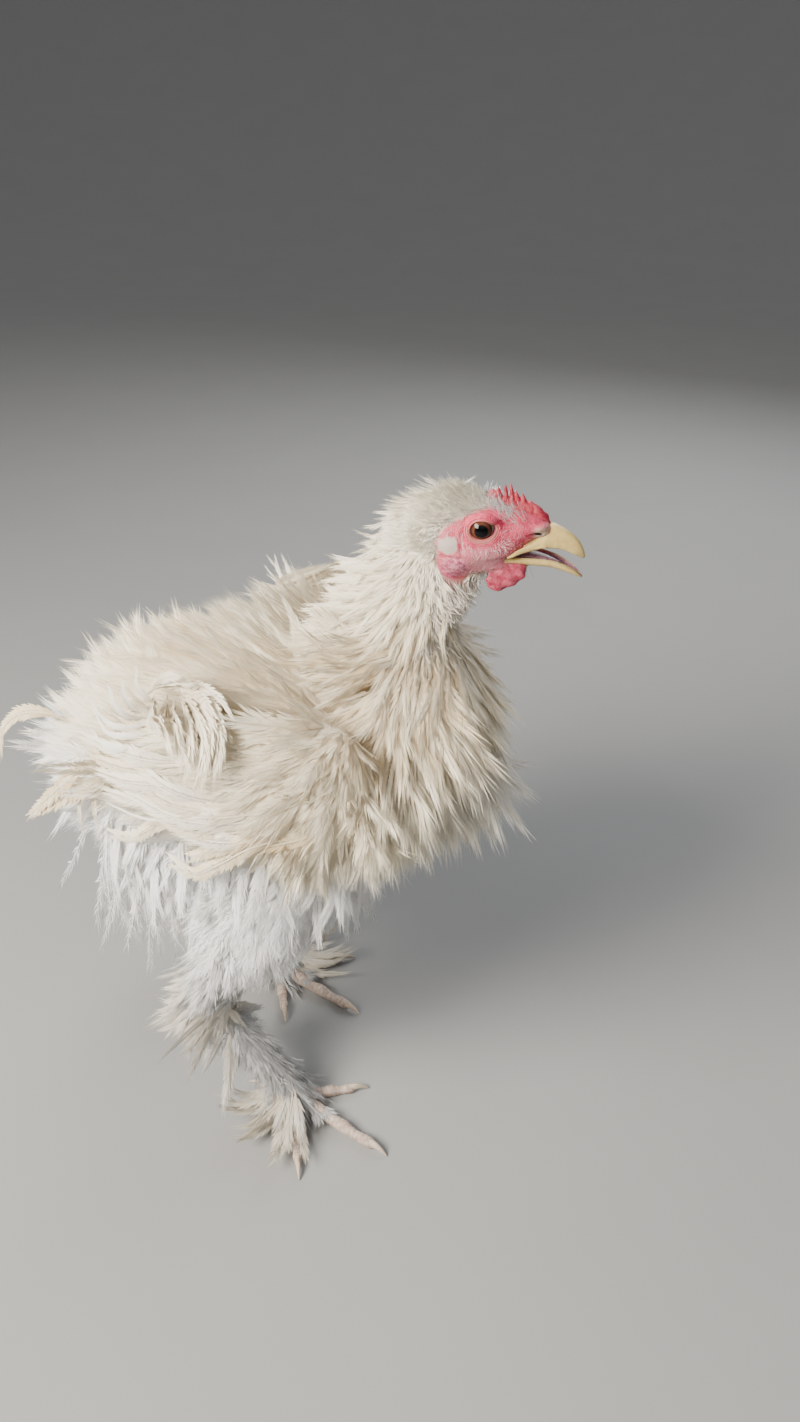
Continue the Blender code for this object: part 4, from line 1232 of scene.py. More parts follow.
def hung(seed, count, parts, length, half, fall, away, weight, swing=0.16, barbs=20, **look):
    """Long soft feathers that leave the skin and hang, with the tips swung a little aside."""
    rng = np.random.default_rng(seed)
    roots = sown(rng, count, parts, weight)
    places, normals, _ = roots
    lengths = length(places) if callable(length) else length
    lengths = lengths * (1 + 0.22 * rng.normal(size=count)).clip(0.5, 1.5)
    way = unit(np.array(fall) + 0.10 * rng.normal(size=(count, 3)))
    start = places + unit(way + away * normals) * (lengths / 2)[:, None]
    gust = drift(places, 0.012, seed + 3)[:, None] * np.array([1.0, 0.3, 0])
    aside = swing * (gust + 0.5 * rng.normal(size=(count, 3)))
    end = start + unit(way + aside * 2) * (lengths / 2)[:, None]
    t = stops(barbs)[None, :, None]
    spine = places[:, None] * (1 - t) ** 2 + start[:, None] * 2 * t * (1 - t) + end[:, None] * t * t
    return grow(rng, roots, framed(spine, unit(normals * (1, 1, 0.1) + (0, 1e-6, 0))), half, barbs, **look)


def toward(*vector):
    """The same direction for every feather."""
    return lambda places: np.tile(np.array(vector, float), (len(places), 1))


def tract(seed, count, parts, lie, length, half, lift, curl, weight=None, bare=False, jitter=0.22, vary=0.18,
          barbs=16, lock=0.18, wander=0.40, **look):
    """A stretch of plumage. Length, half, lift and curl may be functions of the place.

    Angles are in degrees. jitter turns each feather by itself, lock turns small locks of them together and
    wander whole patches, and vary is how uneven their lengths are.
    """
    rng = np.random.default_rng(seed)
    roots = sown(rng, count, parts, weight, bare)
    places = roots[0]
    read = lambda value: value(places) if callable(value) else np.full(len(places), float(value))
    spread = lambda value, share: value * (1 + share * rng.normal(size=len(places))).clip(0.5, 1.6)
    way = unit(lie(places)) + jitter * rng.normal(size=(len(places), 3))
    way += wander * np.stack([drift(places, 0.032, seed + k) for k in range(3)], axis=1)
    way += lock * np.stack([drift(places, 0.010, seed + 30 + k) for k in range(3)], axis=1)
    lifts = np.radians(spread(read(lift) * (1 + 2 * lock * drift(places, 0.009, seed + 40)), 0.25))
    curls = np.radians(spread(read(curl) * (1 + 0.25 * drift(places, 0.030, seed + 9)), 0.30))
    sways = np.radians(14) * rng.normal(size=len(places))
    lengths = spread(read(length) * (1 + 0.18 * drift(places, 0.020, seed + 12)), vary)
    shafts = risen(roots, way, lengths, lifts, curls, sways, barbs)
    return grow(rng, roots, shafts, spread(read(half), 0.15), barbs, **look)


# ================================================================== hackle and crown
# Short soft feathers cover the crown and grow longer down the neck. They stand away from the neck and turn
# outwards, so that the neck looks twice as thick as it is.


def from_eyes(places):
    """Places on the bird, as forward, left and up from the point between the eyes."""
    return in_head(places + STAND_AT).T


def down_neck(places):
    """0 at the top of the neck, 1 at its foot."""
    return 1 - ramp(places[:, 2], 0.245, 0.345)


def neck_lie(places):
    """Straight down on the front of the neck, and down and back behind it."""
    front = ramp(places[:, 0] - 0.082, -0.012, 0.020)[:, None]
    return (1 - front) * np.array([-0.85, 0, -0.50]) + front * np.array([-0.10, 0, -1])


def neck_front(places):
    """1 on the front of the neck, where feathers lie close, 0 behind."""
    return ramp(places[:, 0], 0.070, 0.095)


def over_throat(places):
    """1 on the front of the throat, where feathers are sparse."""
    u, _, w = from_eyes(places)
    return throat_skin(u, w)


hackle = tract(
    11, 1500, ["neck"], neck_lie, lambda p: 0.009 + 0.021 * down_neck(p),
    lambda p: 0.0010 + 0.0021 * down_neck(p), lambda p: 15 - 8 * neck_front(p),
    lambda p: 38 - 26 * neck_front(p), barbs=16, point=0.75, loose=0.05, ragged=0.10, fat=2.2, sweep=3.0,
    weight=lambda p: (0.25 + down_neck(p)) * (1 - 0.93 * over_throat(p)), jitter=0.14, lock=0.07,
)
collar = tract(
    17, 1900, ["neck"], neck_lie, 0.0090, 0.0008, lambda p: 12 - 5 * neck_front(p), 24, barbs=8, sweep=4.5,
    point=0.6, weight=lambda p: ramp(p[:, 2], 0.268, 0.285) * (1 - 0.93 * over_throat(p)), jitter=0.12,
    lock=0.04, ragged=0.2, cool=0.1,
)
nape = tract(
    13, 300, ["neck"], toward(-0.9, 0, -0.25), 0.019, 0.0022, 18, 26,
    weight=lambda p: ramp(0.075 - p[:, 0], 0, 0.012), barbs=18, point=0.8, quill=0.0002, jitter=0.22,
)
coat_piece("coat_neck", [hackle, collar, nape])
BACKWARD = np.array(HEAD_FRAME.to_3x3() @ Vector((-1.0, 0, 0.15)))


def crown_part(places):
    """The top and back of the head, behind the comb and the bare face."""
    u, _, w = from_eyes(places)
    return ramp(0.004 - u, -0.002, 0.004) * ramp(w - 0.9 * u, -0.022, -0.012)


crown = tract(
    12, 1900, ["head"], toward(*BACKWARD), 0.0065, 0.0006, 9, 26, weight=crown_part, barbs=6, loose=0.08,
    sweep=4.0, ragged=0.2, jitter=0.15, lock=0.08, warm=-0.2, cool=0.2,
)


def on_head(lie):
    """A lie given in the head's own directions, which depends on where on the head the feather grows."""
    turn = np.array(HEAD_FRAME.to_3x3())
    return lambda places: lie(*from_eyes(places)) @ turn.T


def throat_part(places):
    """The throat below the jaw, clear of the wattles."""
    u, v, w = from_eyes(places)
    wattles = np.exp(-(((u - 0.0110) / 0.0085) ** 2) - ((w + 0.0205) / 0.0072) ** 2)
    clear = 1 - wattles * ramp(np.abs(v), 0.001, 0.004)
    return ramp(-w, 0.013, 0.019) * (1 - ramp(-w, 0.046, 0.056)) * ramp(u, -0.030, -0.018) * clear**4


throat = tract(
    14, 1900, ["head", "neck"], on_head(lambda u, v, w: np.stack([0 * u - 0.35, 0 * u, 0 * u - 1], axis=1)),
    0.0056, 0.00024, 14, 40, weight=throat_part, barbs=6, sweep=6.0, loose=0.2, ragged=0.3, quill=0.00008,
    cool=0.5,
)


def bristle_lie(u, v, w):
    """Towards the comb before and above the eye, round it below, and down and back over the cheek."""
    above = ramp(w, 0.000, 0.004) * ramp(u, -0.003, 0.004)
    round_eye = np.stack([-w - 0.004, 0 * u, u - 0.010], axis=1) * 120
    cheek = np.array([-0.85, 0, -0.35])
    near_eye = ramp(w, -0.012, -0.004)[:, None]
    below = unit(round_eye) * near_eye + cheek * (1 - near_eye)
    return below * (1 - above)[:, None] + np.array([-0.55, 0, 0.95]) * above[:, None]


def bare_spots(places):
    """0 on the eye, both lobes and the nostril, 1 elsewhere on the face."""
    u, v, w = from_eyes(places)
    off_eye = ramp(np.sqrt(((u - 0.0008) / 0.0068) ** 2 + (w / 0.0055) ** 2), 1.05, 1.35)
    off_lobe = ramp(((u + 0.0121) / 0.0046) ** 2 + ((w + 0.0061) / 0.0042) ** 2, 0.9, 1.3)
    off_low = 0.25 + 0.75 * ramp(((u + 0.0092) / 0.0060) ** 2 + ((w + 0.0165) / 0.0056) ** 2, 0.8, 1.3)
    return off_eye * off_lobe * off_low * (1 - ramp(u, 0.0165, 0.0205)) * ramp(np.abs(v), 0.001, 0.003)


def under_comb(places):
    """1 in a narrow band below the comb, before the eye."""
    u, _, w = from_eyes(places)
    return np.exp(-(((u - 0.0085) / 0.0070) ** 2) - ((w - 0.0052 + 0.25 * (u - 0.0085)) / 0.0026) ** 2)


def face_edge(places):
    """1 in a band along the edge of the bare face."""
    zone = face_zone(places + STAND_AT)
    return ramp(zone, 0.84, 0.94) * (1 - ramp(zone, 1.22, 1.40))


fringe = [
    tract(
        seed, count, ["head"], toward(*BACKWARD), 0.0042, 0.00026, 14, 36, bare=bare, barbs=6, sweep=5.0,
        ragged=0.3, loose=0.15, vary=0.3, jitter=0.24, quill=0.00008, cool=0.4,
        weight=lambda p: face_edge(p) * crown_part(p),
    )
    for seed, count, bare in ((18, 520, False), (19, 200, True))
]
bristles = tract(
    15, 3000, ["head"], on_head(bristle_lie), 0.0013, 0.00005, 12, 60, weight=bare_spots, bare=True, barbs=2,
    sweep=7.0, ragged=0.3, loose=0.2, vary=0.35, jitter=0.16, quill=0.00004,
)
tuft = tract(
    16, 280, ["head"], on_head(bristle_lie), 0.0050, 0.00013, 20, 60, bare=True, barbs=6, sweep=5.0,
    ragged=0.3, loose=0.2, vary=0.3, jitter=0.26, weight=lambda p: bare_spots(p) * under_comb(p),
    quill=0.00008, warm=-1, cool=1,
)
bristle = Finish("bristle", Roughness=0.5, Specular_IOR_Level=0.3)
bristle.colour(bristle.blend(rgb(0.80, 0.44, 0.44), rgb(0.86, 0.74, 0.70), bristle.attribute("tone")))
coat_piece("coat_head", [crown, throat, tuft, *fringe])
coat_piece("coat_face", [bristles], bristle)


# ================================================================== breast, back and belly
# The longest body feathers. Those of the breast hang and turn outwards at the tips, those of the back stand
# up and back in narrow points, and the belly and flanks carry softer, whiter ones.


def breast_part(places):
    """The front of the trunk."""
    return ramp(places[:, 0], 0.046, 0.066)


def breast_lie(places):
    """Down and a little back, and down and forward high on the front."""
    front = ramp(places[:, 0], 0.070, 0.105) * ramp(places[:, 2], 0.212, 0.236)
    return np.array([-0.18, 0, -1.0]) + front[:, None] * np.array([0.34, 0, 0])


def left(places):
    """1 low on the left of the breast, where feathers lie closer than on the right."""
    return ramp(places[:, 1], -0.005, 0.020) * (1 - ramp(places[:, 2], 0.215, 0.240))


def breast_ease(places):
    """1 at the sides of the breast, less at its front and top, where feathers lie closer."""
    top = 0.5 * ramp(places[:, 0], 0.070, 0.085) * ramp(places[:, 2], 0.235, 0.255)
    return (1 - 0.72 * ramp(places[:, 0], 0.070, 0.100)) * (1 - top) * (1 - 0.5 * left(places))


def low_breast(places):
    """1 on the lower front of the breast, where feathers are shorter."""
    return ramp(places[:, 0], 0.040, 0.065) * (1 - ramp(places[:, 2], 0.198, 0.228))


def pendant_part(places):
    """Low on the breast, and less at its very front."""
    low = 1 - ramp(places[:, 2], 0.190, 0.215)
    return breast_part(places) * low * (1 - 0.85 * ramp(places[:, 0], 0.078, 0.096))


breast = tract(
    21, 1350, ["trunk"], breast_lie, lambda p: 0.031 - 0.013 * low_breast(p) - 0.008 * left(p), 0.0040,
    lambda p: 14 * breast_ease(p), lambda p: 44 * breast_ease(p), weight=breast_part, point=0.80, vary=0.12,
    barbs=28, fat=2.0, ragged=0.10, jitter=0.15, wander=0.22,
)
pendants = tract(
    24, 200, ["trunk"], breast_lie, lambda p: 0.035 - 0.012 * low_breast(p) - 0.010 * left(p), 0.0026, 6,
    lambda p: 18 * breast_ease(p), vary=0.12, jitter=0.15, wander=0.22, weight=pendant_part, point=0.85,
    quill=0.0003, barbs=28, ragged=0.08, cool=0.3, warm=-0.3,
)
coat_piece("coat_breast", [breast, pendants])


def back_part(places):
    """The top of the trunk, from the rump to the foot of the neck."""
    along = ramp(places[:, 0], -0.070, -0.050) * (1 - ramp(places[:, 0], 0.060, 0.080))
    return along * ramp(places[:, 2], 0.212, 0.232)


def shoulders(places):
    """1 between the shoulders, where feathers stand up most, 0 on the lower back."""
    return ramp(places[:, 0], 0.000, 0.050)


def back_lie(places):
    """Back, a little outwards, and upwards between the shoulders."""
    rise = shoulders(places)[:, None] * np.array([0, 0, 0.35])
    return np.array([-1, 0, 0.0]) + rise + places * (0, 3.0, 0)


def cape_part(places):
    """The ridge between the shoulders."""
    return back_part(places) * shoulders(places) * ramp(places[:, 2], 0.252, 0.262)


back = tract(
    22, 1250, ["trunk"], back_lie, 0.030, lambda p: 0.0040 - 0.0010 * shoulders(p),
    lambda p: 12 + 16 * shoulders(p), 22, weight=back_part, point=0.85, quill=0.00028, vary=0.12, barbs=24,
    fat=2.0, ragged=0.10, jitter=0.16, lock=0.12,
)
cape = tract(
    26, 130, ["trunk"], back_lie, 0.031, 0.0030, 20, 16, weight=cape_part, point=0.9,
    quill=0.00035, vary=0.14, barbs=28, fat=2.4, ragged=0.06, jitter=0.20, cool=0.2,
)
coat_piece("coat_back", [back, cape])


def belly_part(places):
    """The underside of the trunk behind the breast."""
    low = 1 - ramp(places[:, 2], 0.205, 0.225)
    return (1 - ramp(places[:, 0], 0.020, 0.050)) * low * ramp(places[:, 0], -0.09, -0.07)


def flank_part(places):
    """The sides below the wing and down to the thigh."""
    along = ramp(places[:, 0], -0.060, -0.030) * (1 - ramp(places[:, 0], 0.054, 0.070))
    high = ramp(places[:, 2], 0.160, 0.172) * (1 - ramp(places[:, 2], 0.200, 0.215))
    return along * high


def fluff_part(places):
    """Low behind the legs."""
    along = ramp(-places[:, 0], 0.010, 0.040) * (1 - ramp(-places[:, 0], 0.070, 0.085))
    return along * (1 - ramp(places[:, 2], 0.165, 0.180))


belly = tract(
    23, 800, ["trunk"], toward(-0.42, 0, -0.9), 0.024, 0.0036, 10, 18, weight=belly_part, barbs=20, fat=1.5,
    loose=0.16, ragged=0.22, vary=0.15, wander=0.25, warm=-0.8, cool=0.6,
)
flank = hung(
    27, 440, ["trunk"], 0.036, 0.0032, fall=(-0.10, 0, -1), away=0.45, weight=flank_part, barbs=26, fat=2.0,
    point=0.8, ragged=0.12, quill=0.0003, warm=-1, cool=0.9,
)
fluff = hung(
    25, 300, ["trunk"], lambda p: 0.047 + 0.010 * ramp(-p[:, 0], 0.03, 0.06), 0.0028, fall=(0.04, 0, -1),
    away=0.35, weight=fluff_part, barbs=30, fat=0.8, loose=0.35, ragged=0.45, sweep=3.0, point=0.6,
    quill=0.0004, warm=-1, cool=1,
)
# Frayed strings of fluff between the legs, each along its path from the root down.
STRINGS = [
    [(-0.0608, -0.045, 0.1712), (-0.061, -0.05, 0.1499), (-0.0628, -0.05, 0.1259),
     (-0.0571, -0.048, 0.0987)],
    [(-0.0476, -0.045, 0.175), (-0.0465, -0.05, 0.1532), (-0.0518, -0.05, 0.1269),
     (-0.0528, -0.048, 0.1023)],
    [(-0.0386, -0.045, 0.1746), (-0.0398, -0.05, 0.1439), (-0.0416, -0.05, 0.1204),
     (-0.0417, -0.048, 0.0993)],
    [(-0.0274, -0.045, 0.1749), (-0.0274, -0.050, 0.1511), (-0.0326, -0.050, 0.1254)],
    [(-0.0271, -0.045, 0.1689), (-0.0276, -0.05, 0.137), (-0.0291, -0.05, 0.1085),
     (-0.0251, -0.048, 0.0984)],
    [(-0.064, -0.045, 0.1658), (-0.064, -0.05, 0.1505), (-0.066, -0.05, 0.1327), (-0.069, -0.048, 0.116)],
    [(-0.033, -0.045, 0.1744), (-0.035, -0.05, 0.1454), (-0.045, -0.05, 0.1089), (-0.0508, -0.048, 0.0795)],
]
strings = traced(
    28, STRINGS, (-0.3, -1, 0), 0.0030, barbs=40, fat=0.8, loose=0.30, ragged=0.40, sweep=3.0, point=0.4,
    quill=0.0008, warm=-1, cool=1,
)
coat_piece("coat_belly", [belly, flank, fluff, strings])


# ================================================================== wings
# Small feathers fan out from the shoulder over the folded wing, and longer, stiffer ones lie behind and
# below them. Each is held in the skin by its quill. The paths run from the root to the tip on the left wing,
# and the right wing has the same ones mirrored.

SECONDARIES = [
    [(0.0425, 0.0776, 0.2333), (0.0268, 0.0844, 0.2332), (0.0107, 0.0895, 0.2376), (-0.0091, 0.0865, 0.244)],
    [(0.0467, 0.079, 0.2345), (0.0264, 0.0864, 0.231), (0.0093, 0.0896, 0.2329), (-0.0086, 0.087, 0.2386)],
    [(0.0475, 0.079, 0.2309), (0.0287, 0.0875, 0.2294), (0.0096, 0.0896, 0.2285), (-0.0071, 0.0885, 0.2343)],
    [(0.0484, 0.0785, 0.2273), (0.0291, 0.0873, 0.2254), (0.0108, 0.09, 0.2251), (-0.008, 0.0875, 0.2281)],
    [(0.0498, 0.078, 0.224), (0.0304, 0.0872, 0.2212), (0.0124, 0.089, 0.2198), (-0.0059, 0.0874, 0.224)],
    [(0.0506, 0.0761, 0.2185), (0.0365, 0.0872, 0.2184), (0.0195, 0.0885, 0.2163), (0.0004, 0.0873, 0.2207)],
    [(0.0213, 0.078, 0.2473), (0.0044, 0.086, 0.2482), (-0.0188, 0.082, 0.2446), (-0.036, 0.0764, 0.2428)],
    [(0.0232, 0.079, 0.2444), (0.0041, 0.0867, 0.2428), (-0.0152, 0.0855, 0.2399), (-0.0345, 0.078, 0.235)],
    [(0.0241, 0.08, 0.2404), (0.0038, 0.088, 0.2382), (-0.0141, 0.087, 0.2342), (-0.0298, 0.0812, 0.2303)],
    [(0.0241, 0.08, 0.2351), (0.0015, 0.088, 0.2308), (-0.0145, 0.087, 0.226), (-0.0274, 0.0835, 0.2232)],
]
CURLED_TIPS = [
    [(0.0575, 0.0722, 0.2167), (0.0458, 0.0859, 0.2182), (0.0250, 0.0860, 0.2010), (0.0130, 0.0850, 0.1920),
     (0.0030, 0.0830, 0.1920)],
    [(0.0515, 0.0748, 0.2168), (0.0412, 0.0871, 0.2198), (0.0255, 0.0872, 0.2099), (0.0120, 0.0850, 0.2010)],
    [(0.0695, 0.0688, 0.2208), (0.0565, 0.0773, 0.2171), (0.0430, 0.0860, 0.2164), (0.0313, 0.0867, 0.2144)],
    [(0.0265, 0.08, 0.221), (0.002, 0.085, 0.217), (-0.02, 0.082, 0.201), (-0.033, 0.078, 0.196)],
]
BARE_SHAFT = [[(0.0215, 0.0820, 0.2226), (-0.0049, 0.0880, 0.2186), (-0.0259, 0.0850, 0.2186)]]
# The curl of feathers at the top of the wing, in two rows: the first turns forward, the second back.
SWIRL = [
    [(-0.0165, 0.056, 0.2579), (-0.0102, 0.0669, 0.26), (-0.0051, 0.076, 0.2587), (0.006, 0.086, 0.2613)],
    [(-0.011, 0.0541, 0.2585), (-0.0045, 0.0665, 0.2582), (0.006, 0.08, 0.2626), (0.0148, 0.088, 0.2573)],
    [(-0.0042, 0.0581, 0.2613), (0.0016, 0.0704, 0.26), (0.012, 0.083, 0.2622), (0.0163, 0.0883, 0.2545)],
    [(-0.0029, 0.0573, 0.2606), (0.0118, 0.0741, 0.2645), (0.0197, 0.0842, 0.2622), (0.0188, 0.0877, 0.252)],
    [(-0.003, 0.057, 0.2609), (0.0154, 0.0738, 0.2651), (0.024, 0.0833, 0.2617), (0.0231, 0.0884, 0.2507)],
    [(-0.0027, 0.056, 0.2614), (0.0186, 0.072, 0.2667), (0.0276, 0.0825, 0.263), (0.0279, 0.0884, 0.2539)],
    [(-0.0022, 0.0564, 0.2627), (0.017, 0.068, 0.265), (0.0296, 0.081, 0.2653), (0.0307, 0.0876, 0.255)],
    [(-0.0036, 0.0555, 0.2638), (0.015, 0.065, 0.267), (0.0274, 0.0763, 0.2666), (0.0321, 0.084, 0.2596)],
    [(-0.0125, 0.051, 0.2582), (0.0056, 0.059, 0.2668), (0.018, 0.067, 0.268), (0.0298, 0.079, 0.2685)],
    [(-0.02, 0.058, 0.2573), (-0.018, 0.056, 0.26), (-0.0078, 0.056, 0.2662), (0.0061, 0.062, 0.2713)],
    [(0.0086, 0.0771, 0.2598), (0.0170, 0.0852, 0.2575), (0.0228, 0.0872, 0.2508)],
]
STROKES = [
    [(-0.001, 0.078, 0.2514), (-0.0128, 0.0839, 0.2497), (-0.026, 0.081, 0.2465), (-0.0347, 0.077, 0.249)],
    [(-0.0038, 0.075, 0.2536), (-0.0159, 0.08, 0.2513), (-0.0258, 0.079, 0.2502), (-0.032, 0.077, 0.255)],
    [(-0.008, 0.07, 0.2543), (-0.0187, 0.076, 0.2528), (-0.0267, 0.075, 0.2534), (-0.032, 0.073, 0.26)],
    [(-0.0135, 0.064, 0.252), (-0.0202, 0.071, 0.2547), (-0.0245, 0.072, 0.2596), (-0.028, 0.07, 0.266)],
    [(-0.0133, 0.061, 0.2537), (-0.0195, 0.067, 0.2567), (-0.0226, 0.068, 0.2617), (-0.024, 0.067, 0.269)],
    [(-0.0127, 0.0585, 0.2547), (-0.0138, 0.0648, 0.2618), (-0.016, 0.0661, 0.2668), (-0.017, 0.064, 0.273)],
]

for name, side in SIDES.items():
    shoulder = np.array([0.068, side * 0.048, 0.262])

    def from_shoulder(places):
        """0 at the shoulder, 1 where the longer feathers of the wing begin."""
        return ramp(np.linalg.norm(places - shoulder, axis=1), 0.012, 0.062)

    def wing_lie(places):
        """Away from the shoulder near it, and back along the wing further off."""
        near = (1 - ramp(np.linalg.norm(places - shoulder, axis=1), 0.015, 0.075))[:, None]
        return near * unit(places - shoulder) * 1.3 + (1.15 - near) * np.array([-1.0, 0, -0.22])

    def outer_face(places):
        """1 on the side of the wing that faces away from the body."""
        rows = np.array(wing_path(1))[::-1]
        middle = np.interp(places[:, 0], rows[:, 0], rows[:, 1])
        return ramp(side * places[:, 1] - middle, -0.003, 0.002)

    def mirrored(paths):
        """The left wing's paths, on this side."""
        return [[(x, side * y, z) for x, y, z in path] for path in paths]

    seed = 31 if side < 0 else 36
    lesser = tract(
        seed, 620, ["wing_" + name], wing_lie, lambda p: 0.009 + 0.007 * from_shoulder(p), 0.0032, 9, 6,
        barbs=14, weight=lambda p: (1.12 - from_shoulder(p)) * outer_face(p), jitter=0.12, lock=0.05,
        point=0.40, vary=0.2, ragged=0.10, cup=0.30, warm=0.15,
    )
    coverts = tract(
        seed + 3, 640, ["wing_" + name], wing_lie, 0.022, 0.0040, 5, 9,
        weight=lambda p: (0.12 + from_shoulder(p)) * outer_face(p),
        jitter=0.12, lock=0.05, point=0.60, barbs=26, fat=2.0, ragged=0.12, vary=0.25,
    )
    out = (0, side, 0.25)
    secondaries = traced(
        seed + 1, mirrored(SECONDARIES), out, 0.0050, barbs=40, ragged=0.08, loose=0.03, fat=2.4,
        point=0.75, cup=0.3, sweep=1.8, quill=0.0005, warm=np.resize([-0.4, 0.7, -0.3], len(SECONDARIES)),
        cool=0.2, waver=0.0010,
    )
    tips = traced(
        seed + 4, mirrored(CURLED_TIPS), out, np.array([0.0046, 0.0036, 0.0040, 0.0036]), barbs=40,
        ragged=0.08, loose=0.05, fat=2.4, point=0.35, cup=0.35, sweep=1.4, quill=0.0005, warm=1.0, cool=-1,
        waver=0.0004,
    )
    shaft = traced(seed + 5, mirrored(BARE_SHAFT), out, 0.0007, barbs=20, quill=0.0007, warm=-1, cool=0.6)
    swirl = traced(
        seed + 2, mirrored(SWIRL) * 3, (0, side, 0.35), 0.0028, barbs=28, ragged=0.16, loose=0.08,
        point=0.90, cup=0.1, quill=0.0003, warm=-0.2, cool=0.1, waver=0.0030, sweep=2.6,
    )
    strokes = traced(
        seed + 6, mirrored(STROKES), (0, side, 0.35), 0.0017, barbs=20, ragged=0.14, loose=0.08, point=0.85,
        cup=0.3, quill=0.0003, warm=-1, cool=0.6, waver=0.0008,
    )
    coat_piece("coat_wing_" + name, [lesser, coverts, secondaries, tips, shaft, swirl, strokes])


# ================================================================== rump and tail
# The tail is short and ragged on a curly-feathered bird: uneven feathers spread back and down from the rump,
# and one or two long ones curl away.


def rump_part(places):
    """The back end of the trunk."""
    return (1 - ramp(places[:, 0], -0.060, -0.040)) * ramp(places[:, 2], 0.150, 0.165)


def rump_lie(places):
    """Spread from the middle of the lower back, and back and down."""
    return unit(places - np.array([-0.02, 0, 0.195])) * (0.8, 0.5, 0.8) + np.array([-0.8, 0, -0.25])


rump = tract(
    51, 720, ["trunk"], rump_lie, 0.032, 0.0036, 12, 20, weight=rump_part, point=0.85, quill=0.0003,
    vary=0.14, jitter=0.18, wander=0.30, ragged=0.12, barbs=24, fat=2.0,
)
TAIL_FEATHERS = 26
GOLDEN_SHARE = 0.618
tail = []
for k in range(TAIL_FEATHERS):
    turn, row = math.pi * 2 * (k * GOLDEN_SHARE % 1), 0.4 + 0.6 * (k / (TAIL_FEATHERS - 1))
    out = np.array([-0.5, math.cos(turn) * row, math.sin(turn) * row])
    root = np.array([-0.080, 0, 0.180]) + out * (0.012, 0.022, 0.022)
    lie = np.array([-1.0, math.cos(turn) * 0.55 * row, -0.25 + math.sin(turn) * 0.45 * row])
    length = 0.046 + 0.010 * math.sin(k * 2.7)
    tail.append((root, out, lie, length, 0.0052, 4, 14 * math.sin(k * 1.3), 35 * math.sin(k * 2.1)))
tail = single(52, tail, barbs=30, ragged=0.12, point=0.65, quill=0.0005, sweep=1.5, cup=0.3, warm=0.3)
# Long curled feathers on the right of the rump, and half the width of each. The left has the first four too.
LEAVES = [
    [(-0.0394, -0.062, 0.2248), (-0.0491, -0.07, 0.2211), (-0.073, -0.066, 0.1988),
     (-0.0963, -0.06, 0.1753)],
    [(-0.0331, -0.062, 0.2125), (-0.0419, -0.07, 0.2144), (-0.0664, -0.066, 0.1984),
     (-0.0893, -0.062, 0.1805)],
    [(-0.0651, -0.056, 0.1977), (-0.0618, -0.064, 0.1926), (-0.0669, -0.060, 0.1729)],
    [(-0.0513, -0.060, 0.2085), (-0.0488, -0.068, 0.2024), (-0.0536, -0.064, 0.1798)],
    [(-0.0819, -0.036, 0.2173), (-0.0929, -0.04, 0.2221), (-0.1071, -0.042, 0.2194),
     (-0.1182, -0.044, 0.2088), (-0.1205, -0.046, 0.1978)],
]
LEAF_HALVES = [0.0050, 0.0056, 0.0018, 0.0026, 0.0042]
leaves = LEAVES + [[(0.8 * x, -0.95 * y, z + 0.006) for x, y, z in leaf] for leaf in LEAVES[:4]]
leaves = traced(
    53, leaves, (-0.4, -1, 0.4), np.array(LEAF_HALVES + LEAF_HALVES[:4]), barbs=40, ragged=0.12, loose=0.05,
    point=0.75, quill=0.0005, sweep=1.5, cup=0.3, warm=1.0, cool=-1,
)
coat_piece("coat_tail", [rump, tail, leaves])


# ================================================================== legs
# Soft white feathers down the thigh, a tuft that stands out behind the hock, and short ones down the shank.
# Those of the outer side of the foot are stiff and curved, and spread over the floor.

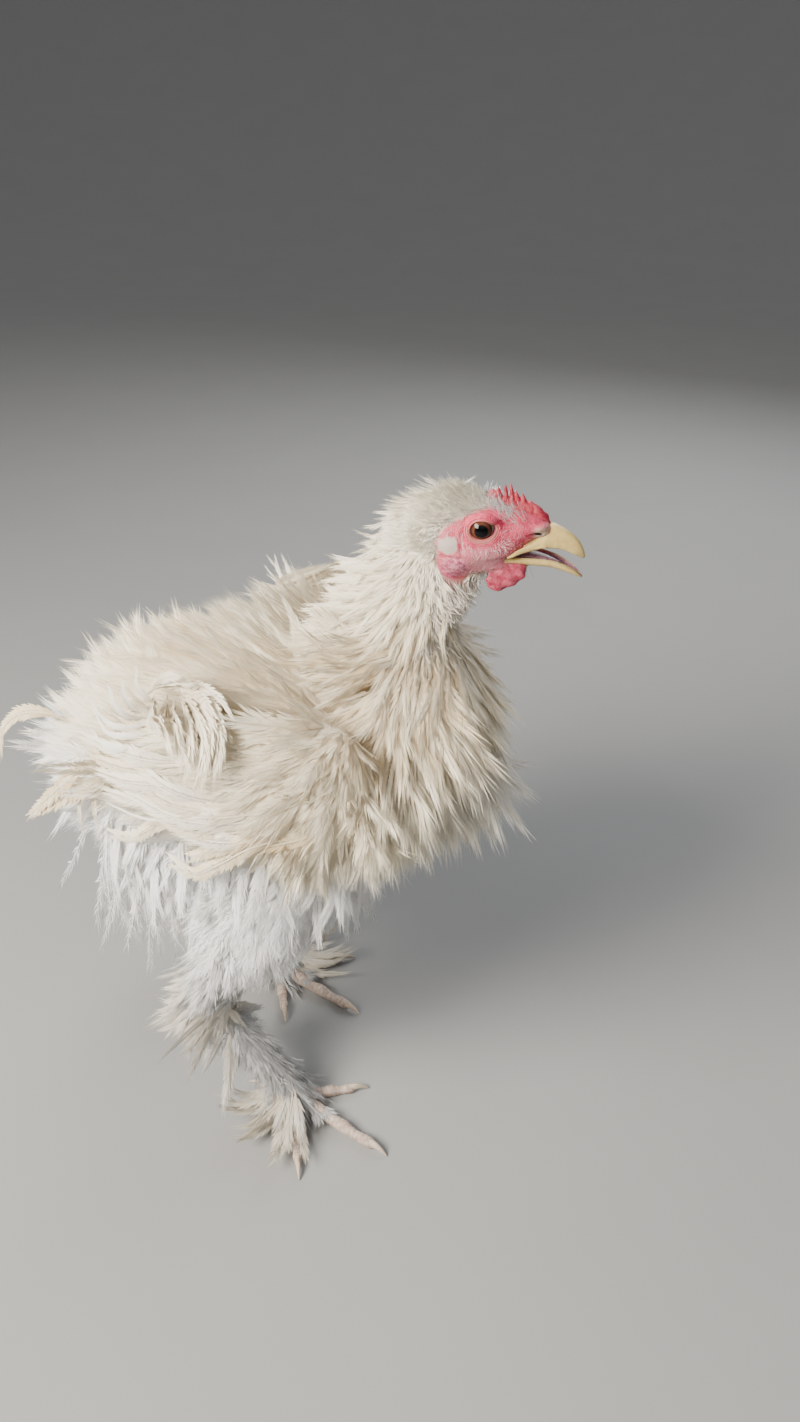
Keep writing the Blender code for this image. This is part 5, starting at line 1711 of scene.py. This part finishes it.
FAN_FROM = {"right": 42, "left": 22}
FAN_ROW = 10
TOE_WAY = math.radians(TOE_HEADING)
for name, side in SIDES.items():
    hock, (foot_x, foot_y) = np.array(STANCE[name]["hock"]), STANCE[name]["foot"]

    def leg_lie(places):
        """Down and back on the thigh, and more outwards on the shank."""
        shank = (1 - ramp(places[:, 2], 0.045, 0.065))[:, None]
        return np.array([-0.45, 0, -1.0]) + shank * np.array([0.35, side * 0.30, 0])

    def leg_ease(places):
        """1 at the back of the leg, less down its front, where feathers lie closer."""
        axis = np.interp(places[:, 2], (0.012, hock[2], 0.168), (foot_x, hock[0], 0.020))
        return 1 - 0.65 * ramp(places[:, 0] - axis, -0.004, 0.012)

    def leg_length(places):
        """Longer on the thigh than on the shank, and shorter down the front."""
        return (0.012 + 0.008 * ramp(places[:, 2], 0.05, 0.10)) * (0.4 + 0.6 * leg_ease(places))

    seed = 41 if side < 0 else 46
    leg = tract(
        seed, 950, ["leg_" + name], leg_lie, leg_length,
        lambda p: 0.0022 + 0.0010 * ramp(p[:, 2], 0.05, 0.10), lambda p: 11 * leg_ease(p),
        lambda p: 22 * leg_ease(p), weight=lambda p: ramp(p[:, 2], 0.050, 0.065), barbs=18, fat=1.6,
        loose=0.12, ragged=0.18, vary=0.25,
    )
    shank = tract(
        seed + 4, 520, ["leg_" + name], leg_lie, 0.014, 0.0026, lambda p: 17 * leg_ease(p), 12,
        weight=lambda p: ramp(p[:, 2], 0.012, 0.018) * (1 - ramp(p[:, 2], 0.058, 0.072)), barbs=14, fat=1.5,
        loose=0.14, ragged=0.20, vary=0.25,
    )

    def hock_part(places):
        """The back of the hock."""
        away = (places - hock - np.array([-0.004, 0, 0.012])) / np.array([0.016, 0.020, 0.020])
        return np.exp(-(away**2).sum(axis=1)) * ramp(hock[0] + 0.012 - places[:, 0], -0.004, 0.006)

    tuft = tract(
        seed + 1, 220, ["leg_" + name], toward(-0.50, side * 0.15, -0.90), 0.026, 0.0032, 15, 22,
        weight=hock_part, barbs=24, fat=2.0, loose=0.06, ragged=0.10, vary=0.25, point=0.85, quill=0.00035,
        warm=0.5, cool=-0.8,
    )
    fan = []
    for k in range(2 * FAN_ROW):
        share, ring = (k % FAN_ROW) / (FAN_ROW - 1), k // FAN_ROW
        bearing = math.radians(TOE_HEADING + side * (FAN_FROM[name] + 82 * share))
        out = np.array([math.cos(bearing), math.sin(bearing), 0])
        root = np.array([foot_x, foot_y, 0.008 + 0.010 * ring]) + out * 0.005
        length = 0.037 + 0.005 * math.sin(k * 2.3) - 0.004 * ring - 0.005 * share
        sway = side * (20 * share + 28 * math.sin(k * 1.9))
        fan.append(
            (root, (0, 0, 1), out + (0, 0, -0.06), length, 0.0033, -12 - 6 * ring, 30 + 36 * share, sway)
        )
    fan = single(
        seed + 2, fan, barbs=28, ragged=0.16, loose=0.10, point=0.80, quill=0.0005, cup=0.3, cool=-1,
        warm=np.resize([0.7, 0.1, 0.4], len(fan)),
    )
    toe_tuft = []
    for k in range(7):
        bearing = math.radians(TOE_HEADING + side * (8 + 10 * k - 20))
        out = np.array([math.cos(bearing), math.sin(bearing), 0])
        root = np.array([foot_x + 0.014 * math.cos(TOE_WAY), foot_y + 0.014 * math.sin(TOE_WAY), 0.0065])
        toe_tuft.append((root, (0, 0, 1), out, 0.011, 0.0016, 8, -20, 10 * math.sin(k)))
    toe_tuft = single(seed + 3, toe_tuft, barbs=10, ragged=0.25, loose=0.2)
    coat_piece("coat_leg_" + name, [leg, shank, tuft, fan, toe_tuft])
